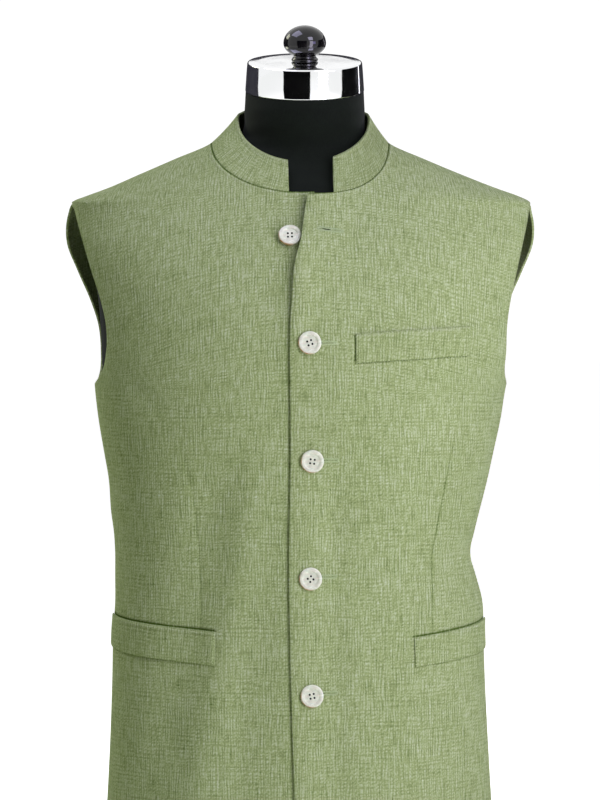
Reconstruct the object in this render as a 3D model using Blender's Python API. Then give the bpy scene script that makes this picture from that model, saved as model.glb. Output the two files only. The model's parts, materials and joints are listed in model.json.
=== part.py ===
"""Sleeveless nehru jacket buttoned on a limbless dress form, as closed solids.

Metres, +Z up, the front faces -Y and the wearer's left is +X.  The cloth's outer face is one
surface, read by an angle round the body (0 at the front, 90 degrees at the wearer's left) and a
height.  Every cloth piece is cut from that surface and given a wall, so neighbours share seams.
"""
import math

import bmesh
import bpy
import numpy as np
from mathutils import Matrix, Vector

MM = 0.001

# Heights above the surface that the dress form stands on
HEM_Z = 0.060
UNDERARM_Z = 0.541
TIP_Z = 0.723
NECK_SIDE_Z = 0.782

# Neckline, seen from the front a half ellipse, which rises behind the neck
NECK_HALF_WIDTH = 0.088
NECK_DROP_RIGHT = 0.0515
NECK_DROP_LEFT = 0.057
NECK_POWER_LEFT = 2.3
NECK_RISE_BACK = 0.006
NECK_TURN = 0.35
# Heights of the front edge that rows share with the armhole's ends, and its top above the tips
EDGE_LOW_Z = 0.521
EDGE_HIGH_Z = 0.683
EDGE_NECK_ABOVE_TIP = 0.009
# Share of the half turn beside a side seam in which the folds fade to nothing
SEAM_CALM = 0.12

# Cloth walls and the clearances between pieces
CLOTH = 0.0022
COLLAR_WALL = 0.0026
WELT_WALL = 0.0018
SEAM_GAP = 0.0003
LAY_GAP = 0.0005
SEAT_GAP = 0.0003

# Lap of the two fronts
LAP_RISE = 0.0020
LAP_SINK = 0.0010
LAP_REACH = 0.045
LIFT_RISE = 0.0050
LIFT_REACH = 0.060
LIFT_LOW_Z = 0.600
LIFT_HIGH_Z = 0.690

# Stand collar: its top edge, and where its two ends meet the neckline and the top edge
COLLAR_TOP_X = 0.00325
COLLAR_TOP_HALF_WIDTH = 0.06575
COLLAR_TOP_FRONT = 0.061
COLLAR_TOP_BACK = 0.068
COLLAR_TOP_SIDE_Z = 0.808
COLLAR_TOP_DROP = 0.0466
COLLAR_TOP_RISE = 0.018
COLLAR_BOW = 0.0008
COLLAR_LEFT_END = (0.0327, 0.0324)
COLLAR_RIGHT_END = (-0.0107, -0.0118)

# Buttons
BUTTON_RADIUS = 0.01115
BUTTON_HEIGHT = 0.0034
BUTTON_DISH_RADIUS = 0.0072
BUTTON_DISH_DEPTH = 0.0009
BUTTON_HOLE_RADIUS = 0.00095
BUTTON_HOLE_OFFSET = 0.00195
BUTTON_SEAT = 0.0007
BUTTON_EDGE = 0.0012
BUTTON_TAPER = 0.0003

# Cap and knob on the form's neck, which lean forward together
NECK_TOP = (0.0047, 0.003, 0.8330)
NECK_TOP_RADIUS = 0.0590
CAP_LEAN = math.radians(13.0)
CAP_HEIGHT = 0.0300
CAP_LOW_RADIUS = 0.0593
CAP_TOP_RADIUS = 0.0573
CAP_BEVEL = 0.0022
KNOB_HEIGHT = 0.0355
KNOB_BALL_RADIUS = 0.02125
KNOB_BALL_Z = 0.0180
KNOB_FOOT_HEIGHT = 0.0070
KNOB_LOW_TURN = math.radians(-40.0)
KNOB_HIGH_TURN = math.radians(85.0)

# How fine the solids are
FRONT_COLUMNS = 16
LAP_COLUMNS = 3
BACK_COLUMNS = 24
SIDE_ROWS = 15
ARMHOLE_ROWS = 8
SHOULDER_ROWS = 6
COLLAR_ROWS = 3
FORM_COLUMNS = 36
ROUND_SIDES = 36
BUTTON_SIDES = 20
HOLE_SIDES = 6
KNOB_STEPS = 11
PATH_STEPS = 400
SHARP_ANGLE = math.radians(35.0)

# Outer face of the cloth, in millimetres: half widths at the wearer's right and left, on the
# front and on the back, and the depths at the middle of the front and of the back.  Between the
# underarm and the shoulder tip the widths are those that the cut armholes would have closed.
SECTION_COLUMNS = ("z", "right_front", "left_front", "right_back", "left_back", "front", "back")
SECTION_ROWS = (
    (60, 197, 196, 197, 196, 128, 132),
    (130, 193, 191.5, 193, 191.5, 127, 132),
    (190, 190, 188, 190, 188, 124, 130),
    (250, 188, 185, 188, 185, 121, 124),
    (295, 187, 183.5, 187, 183.5, 119, 116),
    (325, 185, 182.5, 185, 182.5, 118, 110),
    (350, 185, 176, 185, 176, 118, 106),
    (374, 185, 170, 185, 170, 118.5, 103),
    (392, 186, 174, 186, 174, 119.5, 103.5),
    (415, 189, 179.5, 189, 179.5, 121, 105),
    (445, 191, 187, 191, 187, 124, 110),
    (475, 196, 193.5, 196, 193.5, 128, 117),
    (505, 201, 200, 201, 200, 131, 124),
    (541, 205, 206, 205, 206, 134, 130),
    (560, 206, 211, 212, 213, 135, 133),
    (590, 209, 217, 223, 224, 134, 136.5),
    (620, 214, 221, 233, 234, 131, 138),
    (650, 222, 227, 241, 242, 123.5, 136.5),
    (680, 227, 231, 243, 243.5, 111, 131),
    (700, 226.5, 231.2, 239.5, 240, 99, 125),
    (716, 226.8, 229.8, 232.3, 232.8, 89, 118),
    (723, 227, 229, 227, 229, 85, 115),
    (729, 212, 216.6, 212, 216.6, 81.5, 112.3),
    (735, 195.5, 199.5, 195.5, 199.5, 77, 109),
    (750, 160.5, 161, 160.5, 161, 66, 101),
    (765, 126, 125, 126, 125, 55, 92.5),
    (782, 88, 88, 88, 88, 42, 84),
    (800, 84, 84, 84, 84, 30, 79),
)
SECTION_POWER = 2.3

# Distance of the armhole's edge from the middle, in millimetres
ARMHOLE_COLUMNS = ("z", "right_front", "left_front", "right_back", "left_back")
ARMHOLE_ROWS_TABLE = (
    (541, 205, 206, 205, 206),
    (551, 197, 202.5, 203, 203),
    (575, 190, 203, 203, 203),
    (600, 190, 203.5, 206, 206),
    (625, 195.5, 207, 214, 214),
    (654, 205, 213.5, 226, 226),
    (684, 214.5, 220.5, 236, 236),
    (704, 221, 225.5, 235.1, 235.4),
    (715, 224.5, 227.8, 231.8, 232.3),
    (720, 227.3, 229.6, 229.6, 230.9),
    (723, 227, 229, 227, 229),
)

# Front edges from hem to neck, in millimetres: the left front laps over the right one, and
# above the second button, where the top one is undone, both swing open
EDGE_COLUMNS = ("z", "left_x", "right_x")
EDGE_ROWS = (
    (60, -2, 38),
    (144, -5, 35),
    (228, -7.7, 32),
    (316, -9.8, 30.5),
    (389, -10.3, 30),
    (463, -9, 31),
    (539, -9.2, 31),
    (584, -9.6, 30),
    (633, -7.2, 26),
    (658, -4.8, 20),
    (680, 1, 15),
    (702, 4, 13),
    (733, 9, 14),
)

# Soft folds that run down the cloth: angles in degrees at the top, middle and low end,
# heights and rise in millimetres (a trough has a negative rise), reach in degrees
FOLD_COLUMNS = ("top", "top_z", "middle", "middle_z", "low", "low_z", "rise", "reach")
FOLD_ROWS = (
    (-16, 500, -31, 300, -48, 60, 3.0, 9),
    (-32, 500, -47, 300, -63, 60, -4.0, 10),
    (15.5, 500, 16, 380, 15, 60, -3.6, 7),
    (42, 545, 46, 330, 45, 60, 2.8, 13),
    (63, 450, 64, 405, 67, 350, -2.4, 6),
    (158, 500, 151, 300, 143, 60, -4.0, 9),
    (-163, 470, -152, 280, -140, 60, -4.0, 9),
    (176, 430, 178, 250, 181, 60, 2.6, 10),
    (117, 470, 121, 410, 127, 340, -2.6, 7),
    (-118, 460, -123, 400, -130, 330, -2.6, 7),
)
FOLD_FADE = 0.090

# Pocket welts: angles in degrees, heights in millimetres at the inner and the outer end
WELT_COLUMNS = ("name", "inner", "outer", "top_inner", "top_outer", "low_inner", "low_outer")
WELT_ROWS = (
    ("chest_welt", 21.9, 59.7, 592.4, 599.5, 564.5, 571.0),
    ("pocket_welt_right", -36.4, -86.0, 303.7, 313.0, 271.0, 281.0),
    ("pocket_welt_left", 47.2, 86.0, 297.6, 309.0, 269.0, 279.0),
)
WELT_CELLS = (12, 3)

# Buttons: which front they lie on, place in millimetres, turn of the holes in degrees
BUTTON_COLUMNS = ("name", "front", "x", "z", "turn")
BUTTON_ROWS = (
    ("button_1", "right", -9.1, 687.5, 2),
    ("button_2", "left", 9.3, 583.8, 20),
    ("button_3", "left", 11.8, 470.8, -8),
    ("button_4", "left", 10.1, 356.5, 38),
    ("button_5", "left", 11.5, 243.2, 12),
)

# Foot of the cap's knob, in millimetres
KNOB_FOOT_COLUMNS = ("radius", "height")
KNOB_FOOT_ROWS = (
    (12.5, 0),
    (13.2, 1.2),
    (12.5, 3),
    (11.2, 4.5),
    (12.5, 7),
)

# Dress form, in millimetres: half width, depth before and behind its axis, sideways lean, and
# the power of its rounded oval, lowest where the shoulders run into the neck
FORM_COLUMNS_TABLE = ("z", "half_width", "front", "back", "lean", "power")
FORM_ROWS = (
    (0, 178, 116, 120, 0, 2.3),
    (6, 184, 118, 122, 0, 2.3),
    (60, 185, 117, 121, 0, 2.3),
    (190, 177, 113, 119, 0, 2.3),
    (295, 172, 108, 105, 0, 2.3),
    (374, 159, 107.5, 92, 0, 2.3),
    (415, 168, 110, 94, 0, 2.3),
    (475, 184, 117, 106, 0, 2.3),
    (541, 196, 127, 122, 0, 2.3),
    (590, 198.5, 128.5, 129.5, 0, 2.3),
    (620, 200.5, 125.5, 131.5, 0, 2.3),
    (660, 207, 114, 128.5, 0, 2.3),
    (700, 214.5, 94, 119, 0, 2.3),
    (716, 216.5, 84, 112, 0, 2.25),
    (726, 205.5, 77.5, 108, 0, 2.25),
    (735, 187.2, 70, 102, 0, 2.15),
    (750, 152.2, 57.5, 93, 0, 2.0),
    (765, 115.4, 48, 84, 0, 1.7),
    (776, 82, 46.5, 76, 0.5, 1.5),
    (784, 66, 49, 71, 2.5, 1.65),
    (797, 60.5, 53.5, 67.5, 4.3, 1.95),
    (812, 60, 55.5, 63.5, 4.6, 2.0),
)

# Colours as sRGB bytes, roughness and metallic value
FINISH_COLUMNS = ("name", "colour", "roughness", "metallic")
FINISH_ROWS = (
    ("linen", (146, 160, 121), 0.85, 0.0),
    ("collar_linen", (140, 154, 115), 0.85, 0.0),
    ("welt_linen", (143, 157, 118), 0.85, 0.0),
    ("pearl", (232, 230, 222), 0.22, 0.0),
    ("form_cloth", (16, 18, 18), 0.75, 0.0),
    ("chrome", (205, 207, 208), 0.08, 1.0),
    ("black_gloss", (12, 12, 13), 0.12, 0.0),
)


def rows(columns, table):
    """Rows of a table as dictionaries by column name."""
    return [dict(zip(columns, row)) for row in table]


def smooth_column(columns, table, name, scale=MM):
    """A function of height that runs smoothly through one column of a table."""
    knots = np.array([row["z"] for row in rows(columns, table)]) * MM
    values = np.array([row[name] for row in rows(columns, table)]) * scale
    slopes = np.gradient(values, knots)

    def read(z):
        z = np.clip(z, knots[0], knots[-1])
        low = np.clip(np.searchsorted(knots, z, side="right") - 1, 0, len(knots) - 2)
        span = knots[low + 1] - knots[low]
        t = (z - knots[low]) / span
        rise = values[low + 1] - values[low]
        start = slopes[low] * span
        end = slopes[low + 1] * span
        bend = (3 * rise - 2 * start - end) * t**2 + (start + end - 2 * rise) * t**3
        return values[low] + start * t + bend

    return read


def smoothstep(value):
    """0 below 0, 1 above 1, with no corners between."""
    value = np.clip(value, 0.0, 1.0)
    return value * value * (3.0 - 2.0 * value)


WIDTH = {name: smooth_column(SECTION_COLUMNS, SECTION_ROWS, name) for name in SECTION_COLUMNS[1:5]}
DEPTH = {name: smooth_column(SECTION_COLUMNS, SECTION_ROWS, name) for name in SECTION_COLUMNS[5:]}
ARMHOLE = {name: smooth_column(ARMHOLE_COLUMNS, ARMHOLE_ROWS_TABLE, name) for name in ARMHOLE_COLUMNS[1:]}
EDGE = {name: smooth_column(EDGE_COLUMNS, EDGE_ROWS, name) for name in EDGE_COLUMNS[1:]}


def superellipse(angle, width, depth, power):
    """Radius of a rounded oval at an angle from the front."""
    across = np.abs(np.sin(angle)) / width
    along = np.abs(np.cos(angle)) / depth
    return (across**power + along**power) ** (-1.0 / power)


def half_width(angle, z):
    """Half width of the section that an angle and a height lie in."""
    front = np.where(np.sin(angle) >= 0, WIDTH["left_front"](z), WIDTH["right_front"](z))
    back = np.where(np.sin(angle) >= 0, WIDTH["left_back"](z), WIDTH["right_back"](z))
    return np.where(np.cos(angle) >= 0, front, back)


def body_point(angle, z):
    """Point of the cloth's plain outer face."""
    depth = np.where(np.cos(angle) >= 0, DEPTH["front"](z), DEPTH["back"](z))
    radius = superellipse(angle, half_width(angle, z), depth, SECTION_POWER)
    return np.stack((radius * np.sin(angle), -radius * np.cos(angle), z + 0 * radius), axis=-1)


def body_normal(angle, z):
    """Outward direction of the cloth's plain outer face."""
    across = body_point(angle + 0.002, z) - body_point(angle - 0.002, z)
    up = body_point(angle, z + MM) - body_point(angle, z - MM)
    normal = np.cross(across, up)
    return normal / np.linalg.norm(normal, axis=-1, keepdims=True)


def angle_at(x, z, back=False):
    """Angle of the point that lies a distance x from the middle, on the front or the back."""
    face = "back" if back else "front"
    side = np.where(np.asarray(x) >= 0, WIDTH["left_" + face](z), WIDTH["right_" + face](z))
    share = np.clip(np.abs(x) / side, 0.0, 1.0)
    depth = DEPTH[face](z) * (1.0 - share**SECTION_POWER) ** (1.0 / SECTION_POWER)
    angle = np.arctan2(x, depth)
    return np.pi - angle if back else angle


def folds(angle, z):
    """How far the soft folds move the cloth out."""
    total = np.zeros(np.broadcast(angle, z).shape)
    for fold in rows(FOLD_COLUMNS, FOLD_ROWS):
        heights = [fold["low_z"] * MM, fold["middle_z"] * MM, fold["top_z"] * MM]
        line = np.interp(z, heights, [fold["low"], fold["middle"], fold["top"]])
        away = (np.degrees(angle) - line + 180.0) % 360.0 - 180.0
        fade = smoothstep((heights[2] - z) / FOLD_FADE)
        if fold["low_z"] * MM > HEM_Z:
            fade = fade * smoothstep((z - heights[0]) / FOLD_FADE + 0.5)
        total = total + fold["rise"] * MM * fade * np.exp(-((away / fold["reach"]) ** 2))
    return total


def seam_calm(angle):
    """1 away from the side seams and 0 on them, so that front and back meet."""
    return smoothstep((np.abs(np.abs(np.sin(angle / 2)) ** 2 - 0.5) * 2) / SEAM_CALM)


def relief(piece, angle, z):
    """Distance that a piece's outer face lies out from the plain face."""
    out = folds(angle, z) * seam_calm(angle)
    x = body_point(angle, z)[..., 0]
    if piece == "front_left":
        past = (x - EDGE["right_x"](z)) / LAP_REACH
        out = out + LAP_RISE * (1 - smoothstep(past))
        lift = smoothstep((z - LIFT_LOW_Z) / (LIFT_HIGH_Z - LIFT_LOW_Z))
        out = out + LIFT_RISE * lift * (1 - smoothstep((x - EDGE["left_x"](z)) / LIFT_REACH))
    if piece == "front_right":
        past = (EDGE["left_x"](z) - x) / LAP_REACH
        out = out - LAP_SINK * (1 - smoothstep(past))
    return out


def cloth_point(piece, angle, z, out=0.0):
    """Point of a piece's outer face, moved out by a distance."""
    return body_point(angle, z) + body_normal(angle, z) * (relief(piece, angle, z) + out)[..., None]


def neck_line(turn, is_left):
    """Distance from the middle and height of the neckline at a turn round the neck."""
    sine = np.abs(np.sin(turn))
    cosine = np.cos(turn)
    share = smoothstep((cosine + NECK_TURN) / (2 * NECK_TURN))
    lapping = np.maximum(1.0 - sine**NECK_POWER_LEFT, 0.0) ** (1.0 / NECK_POWER_LEFT)
    fall = np.where(is_left & (cosine > 0), lapping, cosine)
    drop_front = np.where(is_left, NECK_DROP_LEFT, NECK_DROP_RIGHT)
    drop = NECK_RISE_BACK + (drop_front - NECK_RISE_BACK) * share
    z = NECK_SIDE_Z - drop * fall
    reach = np.where(cosine < 0, WIDTH["left_back"](z), NECK_HALF_WIDTH)
    return reach * np.sin(turn), z


def neck_path(start, end, side=None):
    """Angles and heights of one panel's neckline between two turns, closely spaced."""
    turn = np.linspace(start, end, PATH_STEPS)
    x, z = neck_line(turn, side == "left" if side else np.sin(turn) > 0)
    is_back = np.cos(turn) < 0
    angle = np.where(is_back, angle_at(x, z, back=True), angle_at(x, z))
    if end > np.pi:
        angle = np.where(angle < 0, angle + 2 * np.pi, angle)
    return angle, z


def evenly(angle, z):
    """A function from a share of a path's length to its angle and height."""
    steps = np.linalg.norm(np.diff(body_point(angle, z), axis=0), axis=1)
    share = np.concatenate(([0.0], np.cumsum(steps)))
    share = share / share[-1]

    def read(at):
        return np.stack((np.interp(at, share, angle), np.interp(at, share, z)), axis=-1)

    return read


def side_boundary(side, face):
    """Side seam, armhole and shoulder seam of one panel, from hem to neck, row by row."""
    turned = -1.0 if side == "right" else 1.0
    back = face == "back"
    seam_angle = turned * np.pi / 2
    if back and side == "right":
        seam_angle = 1.5 * np.pi
    low = HEM_Z + (UNDERARM_Z - HEM_Z) * np.linspace(0, 1, SIDE_ROWS + 1)
    seam = np.stack((np.full_like(low, seam_angle), low), axis=-1)
    height = UNDERARM_Z + (TIP_Z - UNDERARM_Z) * np.linspace(0, 1, PATH_STEPS) ** 2
    edge = ARMHOLE[side + "_" + face](height)
    widest = WIDTH[side + "_" + face](height)
    angle = angle_at(turned * np.minimum(edge, widest), height, back)
    if back and side == "right":
        angle = angle % (2 * np.pi)
    angle[0] = seam_angle
    angle[-1] = seam_angle
    armhole = evenly(angle, height)(np.linspace(0, 1, ARMHOLE_ROWS + 1))
    top = TIP_Z + (NECK_SIDE_Z - TIP_Z) * np.linspace(0, 1, SHOULDER_ROWS + 1)
    shoulder = np.stack((np.full_like(top, seam_angle), top), axis=-1)
    return np.concatenate((seam, armhole[1:], shoulder[1:]))


def front_boundary(side):
    """Front edge of one front, from hem to neck, row by row."""
    edge = EDGE[side + "_x"]
    neck_x = edge(TIP_Z + EDGE_NECK_ABOVE_TIP)
    neck_turn = math.asin(neck_x / NECK_HALF_WIDTH)
    neck_z = float(neck_line(neck_turn, side == "left")[1])
    heights = np.concatenate((
        np.linspace(HEM_Z, EDGE_LOW_Z, SIDE_ROWS + 1),
        np.linspace(EDGE_LOW_Z, EDGE_HIGH_Z, ARMHOLE_ROWS + 1)[1:],
        np.linspace(EDGE_HIGH_Z, neck_z, SHOULDER_ROWS + 1)[1:],
    ))
    x = edge(heights)
    x[-1] = neck_x
    return np.stack((angle_at(x, heights), heights), axis=-1), neck_turn


def patch(low, top, first, last):
    """Grid of angles and heights that fills four boundaries, by rows from low to top."""
    s = np.linspace(0, 1, len(low))[None, :, None]
    t = np.linspace(0, 1, len(first))[:, None, None]
    along = (1 - t) * low[None] + t * top[None]
    up = (1 - s) * first[:, None] + s * last[:, None]
    corners = (1 - s) * (1 - t) * low[0] + s * (1 - t) * low[-1] + (1 - s) * t * top[0] + s * t * top[-1]
    return along + up - corners


def front_grid(side):
    """Angles and heights of one front, from its edge to the side seam."""
    turned = -1.0 if side == "right" else 1.0
    collar_end = COLLAR_RIGHT_END[0] if side == "right" else COLLAR_LEFT_END[0]
    collar_turn = math.asin(collar_end / NECK_HALF_WIDTH)
    first, neck_turn = front_boundary(side)
    last = side_boundary(side, "front")
    hem_angle = np.linspace(first[0, 0], turned * np.pi / 2, PATH_STEPS)
    low = evenly(hem_angle, np.full(PATH_STEPS, HEM_Z))(np.linspace(0, 1, FRONT_COLUMNS + 1))
    lap_share = np.linspace(0, 1, LAP_COLUMNS + 1)
    collar_share = np.linspace(0, 1, FRONT_COLUMNS - LAP_COLUMNS + 1)
    lap = evenly(*neck_path(neck_turn, collar_turn, side))(lap_share)
    carried = evenly(*neck_path(collar_turn, turned * np.pi / 2, side))(collar_share)
    return patch(low, np.concatenate((lap, carried[1:])), first, last)


def back_grid():
    """Angles and heights of the back, from the left side seam to the right one."""
    share = np.linspace(0, 1, BACK_COLUMNS + 1)
    hem_angle = np.linspace(np.pi / 2, 1.5 * np.pi, PATH_STEPS)
    low = evenly(hem_angle, np.full(PATH_STEPS, HEM_Z))(share)
    top = evenly(*neck_path(np.pi / 2, 1.5 * np.pi))(share)
    return patch(low, top, side_boundary("left", "back"), side_boundary("right", "back"))


def pull_back(grid, distance, first=False, last=False, top=False):
    """Move the named edges of a grid of points towards its inside, to leave a seam's gap."""
    moved = grid.copy()
    for wanted, edge, inside in ((first, 0, 1), (last, -1, -2)):
        if wanted:
            step = grid[:, inside] - grid[:, edge]
            moved[:, edge] += distance * step / np.linalg.norm(step, axis=-1, keepdims=True)
    if top:
        step = grid[-2] - grid[-1]
        moved[-1] += distance * step / np.linalg.norm(step, axis=-1, keepdims=True)
    return moved


def material(name):
    """The material of one row of the finish table."""
    found = bpy.data.materials.get(name)
    if found:
        return found
    finish = next(row for row in rows(FINISH_COLUMNS, FINISH_ROWS) if row["name"] == name)
    made = bpy.data.materials.new(name)
    made.use_nodes = True
    shader = made.node_tree.nodes["Principled BSDF"]
    linear = [(byte / 255.0) ** 2.2 for byte in finish["colour"]]
    shader.inputs["Base Color"].default_value = (*linear, 1.0)
    shader.inputs["Roughness"].default_value = finish["roughness"]
    shader.inputs["Metallic"].default_value = finish["metallic"]
    return made


def add_solid(name, points, faces, finish):
    """Add a closed body as an object, its faces turned outwards."""
    mesh = bpy.data.meshes.new(name)
    mesh.from_pydata([tuple(point) for point in points], [], faces)
    work = bmesh.new()
    work.from_mesh(mesh)
    bmesh.ops.recalc_face_normals(work, faces=work.faces)
    work.to_mesh(mesh)
    work.free()
    mesh.shade_smooth()
    mesh.set_sharp_from_angle(angle=SHARP_ANGLE)
    mesh.materials.append(material(finish))
    made = bpy.data.objects.new(name, mesh)
    bpy.context.scene.collection.objects.link(made)
    return made


def add_wall(name, outer, inner, finish):
    """Add a wall between two grids of points, closed along its four edges."""
    count_up, count_along = outer.shape[:2]
    points = np.concatenate((outer.reshape(-1, 3), inner.reshape(-1, 3)))
    behind = count_up * count_along

    def at(row, column):
        return row * count_along + column

    faces = []
    for row in range(count_up - 1):
        for column in range(count_along - 1):
            ring = (at(row, column), at(row, column + 1), at(row + 1, column + 1), at(row + 1, column))
            faces.append(ring)
            faces.append(tuple(behind + corner for corner in reversed(ring)))
    rim = [at(0, column) for column in range(count_along)]
    rim += [at(row, count_along - 1) for row in range(1, count_up)]
    rim += [at(count_up - 1, column) for column in range(count_along - 2, -1, -1)]
    rim += [at(row, 0) for row in range(count_up - 2, 0, -1)]
    for here, after in zip(rim, rim[1:] + rim[:1]):
        low, high = (here, after) if points[here][2] <= points[after][2] else (after, here)
        faces.append((low, high, behind + high))
        faces.append((low, behind + high, behind + low))
    return add_solid(name, points, faces, finish)


def add_panel(name, grid, **seams):
    """Add one body panel of the jacket from its grid of angles and heights."""
    angle = grid[..., 0]
    z = grid[..., 1]
    outer = cloth_point(name, angle, z)
    inner = cloth_point(name, angle, z, -CLOTH)
    outer = pull_back(outer, SEAM_GAP / 2, **seams)
    inner = pull_back(inner, SEAM_GAP / 2, **seams)
    return add_wall(name, outer, inner, "linen")


def add_welt(row):
    """Add a pocket's welt, which lies on the front that carries it."""
    across = np.linspace(0, 1, WELT_CELLS[0] + 1)[None, :]
    up = np.linspace(0, 1, WELT_CELLS[1] + 1)[:, None]
    angle = np.radians(row["inner"] + (row["outer"] - row["inner"]) * across) + 0 * up
    low = row["low_inner"] + (row["low_outer"] - row["low_inner"]) * across
    top = row["top_inner"] + (row["top_outer"] - row["top_inner"]) * across
    z = (low + (top - low) * up) * MM
    carrier = "front_left" if row["inner"] > 0 else "front_right"
    outer = cloth_point(carrier, angle, z, LAY_GAP + WELT_WALL)
    inner = cloth_point(carrier, angle, z, LAY_GAP)
    return add_wall(row["name"], outer, inner, "welt_linen")


def length_shares(points):
    """Share of a line's length at each of its points."""
    steps = np.linalg.norm(np.diff(points, axis=0), axis=1)
    return np.concatenate(([0.0], np.cumsum(steps))) / steps.sum()


def collar_base(grids):
    """Points and outward directions of the panels' top edges, where they carry the collar."""
    lines = []
    for name, grid in grids.items():
        angle, z = grid[-1].T
        points = np.concatenate((cloth_point(name, angle, z), body_normal(angle, z)), axis=-1)
        lines.append(points if name == "back" else points[LAP_COLUMNS:-1])
    back, right, left = lines
    line = np.concatenate((left, back, right[::-1]))
    return line[:, :3], line[:, 3:]


def collar_top():
    """Outer line of the collar's top edge."""
    start = math.asin((COLLAR_LEFT_END[1] - COLLAR_TOP_X) / COLLAR_TOP_HALF_WIDTH)
    end = 2 * math.pi + math.asin((COLLAR_RIGHT_END[1] - COLLAR_TOP_X) / COLLAR_TOP_HALF_WIDTH)
    turn = np.linspace(start, end, PATH_STEPS)
    cosine = np.cos(turn)
    share = smoothstep((cosine + NECK_TURN) / (2 * NECK_TURN))
    drop = COLLAR_TOP_RISE + (COLLAR_TOP_DROP - COLLAR_TOP_RISE) * share
    depth = np.where(cosine > 0, COLLAR_TOP_FRONT, COLLAR_TOP_BACK)
    x = COLLAR_TOP_X + COLLAR_TOP_HALF_WIDTH * np.sin(turn)
    return np.stack((x, -depth * cosine, COLLAR_TOP_SIDE_Z - drop * cosine), axis=-1)


def add_collar(grids):
    """Add the stand collar, a band that rises from the neckline and leans in."""
    base, base_normal = collar_base(grids)
    top_line = collar_top()
    top_share = length_shares(top_line)
    share = length_shares(base)
    top = np.stack([np.interp(share, top_share, top_line[:, axis]) for axis in range(3)], axis=-1)
    rise = top - base
    height = np.linalg.norm(rise, axis=-1, keepdims=True)
    along = np.gradient(base, axis=0)
    normal = np.cross(along, rise)
    normal = normal / np.linalg.norm(normal, axis=-1, keepdims=True)
    shares = np.linspace(0, 1, COLLAR_ROWS + 1)
    outer = []
    inner = []
    for share in shares:
        from_seam = share + (1 - share) * SEAM_GAP / height
        outer.append(base + rise * from_seam - normal * COLLAR_BOW * 4 * share * (1 - share))
        inner.append(outer[-1] - (normal if share else base_normal) * COLLAR_WALL)
    return add_wall("collar", np.array(outer), np.array(inner), "collar_linen")


def turned_body(profile, sides):
    """Points and faces of a body turned round Z from radii and heights, low to high."""
    points = []
    faces = []
    for radius, height in profile:
        for step in range(sides):
            turn = 2 * math.pi * step / sides
            points.append((radius * math.cos(turn), radius * math.sin(turn), height))
    for ring in range(len(profile) - 1):
        for step in range(sides):
            after = (step + 1) % sides
            low = ring * sides
            faces.append((low + step, low + after, low + sides + after, low + sides + step))
    faces.append(tuple(reversed(range(sides))))
    last = (len(profile) - 1) * sides
    faces.append(tuple(range(last, last + sides)))
    return points, faces


def arc(centre, radius, start, end, steps):
    """Points of a turned profile's arc, in the plane of radius and height."""
    turns = [start + (end - start) * step / steps for step in range(steps + 1)]
    return [(centre[0] + radius * math.cos(turn), centre[1] + radius * math.sin(turn)) for turn in turns]


def button_mesh():
    """Mesh of a four-hole button with a raised rim and a dished middle, its back at z = 0."""
    floor_z = BUTTON_HEIGHT - BUTTON_DISH_DEPTH
    rim_radius = (BUTTON_RADIUS + BUTTON_DISH_RADIUS) / 2
    profile = [
        (BUTTON_DISH_RADIUS, 0.0),
        (BUTTON_RADIUS - BUTTON_EDGE, 0.0),
        (BUTTON_RADIUS, BUTTON_EDGE),
        (BUTTON_RADIUS - BUTTON_TAPER, floor_z),
        (rim_radius, BUTTON_HEIGHT),
        (BUTTON_DISH_RADIUS, floor_z),
    ]
    work = bmesh.new()
    rings = []
    for radius, height in profile:
        turns = [2 * math.pi * step / BUTTON_SIDES for step in range(BUTTON_SIDES)]
        rings.append([work.verts.new((radius * math.cos(t), radius * math.sin(t), height)) for t in turns])
    for low, high in zip(rings, rings[1:]):
        for step in range(BUTTON_SIDES):
            after = (step + 1) % BUTTON_SIDES
            work.faces.new((low[step], low[after], high[after], high[step]))
    loops = {0.0: [rings[0]], floor_z: [rings[-1]]}
    for x_sign, y_sign in ((1, 1), (-1, 1), (-1, -1), (1, -1)):
        ends = []
        for height in (0.0, floor_z):
            ring = []
            for step in range(HOLE_SIDES):
                turn = 2 * math.pi * step / HOLE_SIDES
                x = x_sign * BUTTON_HOLE_OFFSET + BUTTON_HOLE_RADIUS * math.cos(turn)
                y = y_sign * BUTTON_HOLE_OFFSET + BUTTON_HOLE_RADIUS * math.sin(turn)
                ring.append(work.verts.new((x, y, height)))
            loops[height].append(ring)
            ends.append(ring)
        for step in range(HOLE_SIDES):
            after = (step + 1) % HOLE_SIDES
            work.faces.new((ends[0][step], ends[0][after], ends[1][after], ends[1][step]))
    for level in loops.values():
        edges = []
        for ring in level:
            for here, after in zip(ring, ring[1:] + ring[:1]):
                edges.append(work.edges.get((here, after)))
        bmesh.ops.triangle_fill(work, use_beauty=True, edges=edges)
    bmesh.ops.recalc_face_normals(work, faces=work.faces)
    mesh = bpy.data.meshes.new("button")
    work.to_mesh(mesh)
    work.free()
    mesh.shade_smooth()
    mesh.set_sharp_from_angle(angle=SHARP_ANGLE)
    mesh.materials.append(material("pearl"))
    return mesh


def add_buttons():
    """Add the five buttons, each flat on the front that it lies on."""
    mesh = button_mesh()
    for row in rows(BUTTON_COLUMNS, BUTTON_ROWS):
        z = np.array(row["z"] * MM)
        angle = angle_at(row["x"] * MM, z)
        place = Vector(cloth_point("front_" + row["front"], angle, z, BUTTON_SEAT))
        out = Vector(body_normal(angle, z))
        across = Vector((0, 0, 1)).cross(out).normalized()
        frame = Matrix((across, out.cross(across), out)).transposed().to_4x4()
        turn = Matrix.Rotation(math.radians(row["turn"]), 4, "Z")
        made = bpy.data.objects.new(row["name"], mesh)
        made.matrix_world = Matrix.Translation(place) @ frame @ turn
        bpy.context.scene.collection.objects.link(made)


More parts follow.
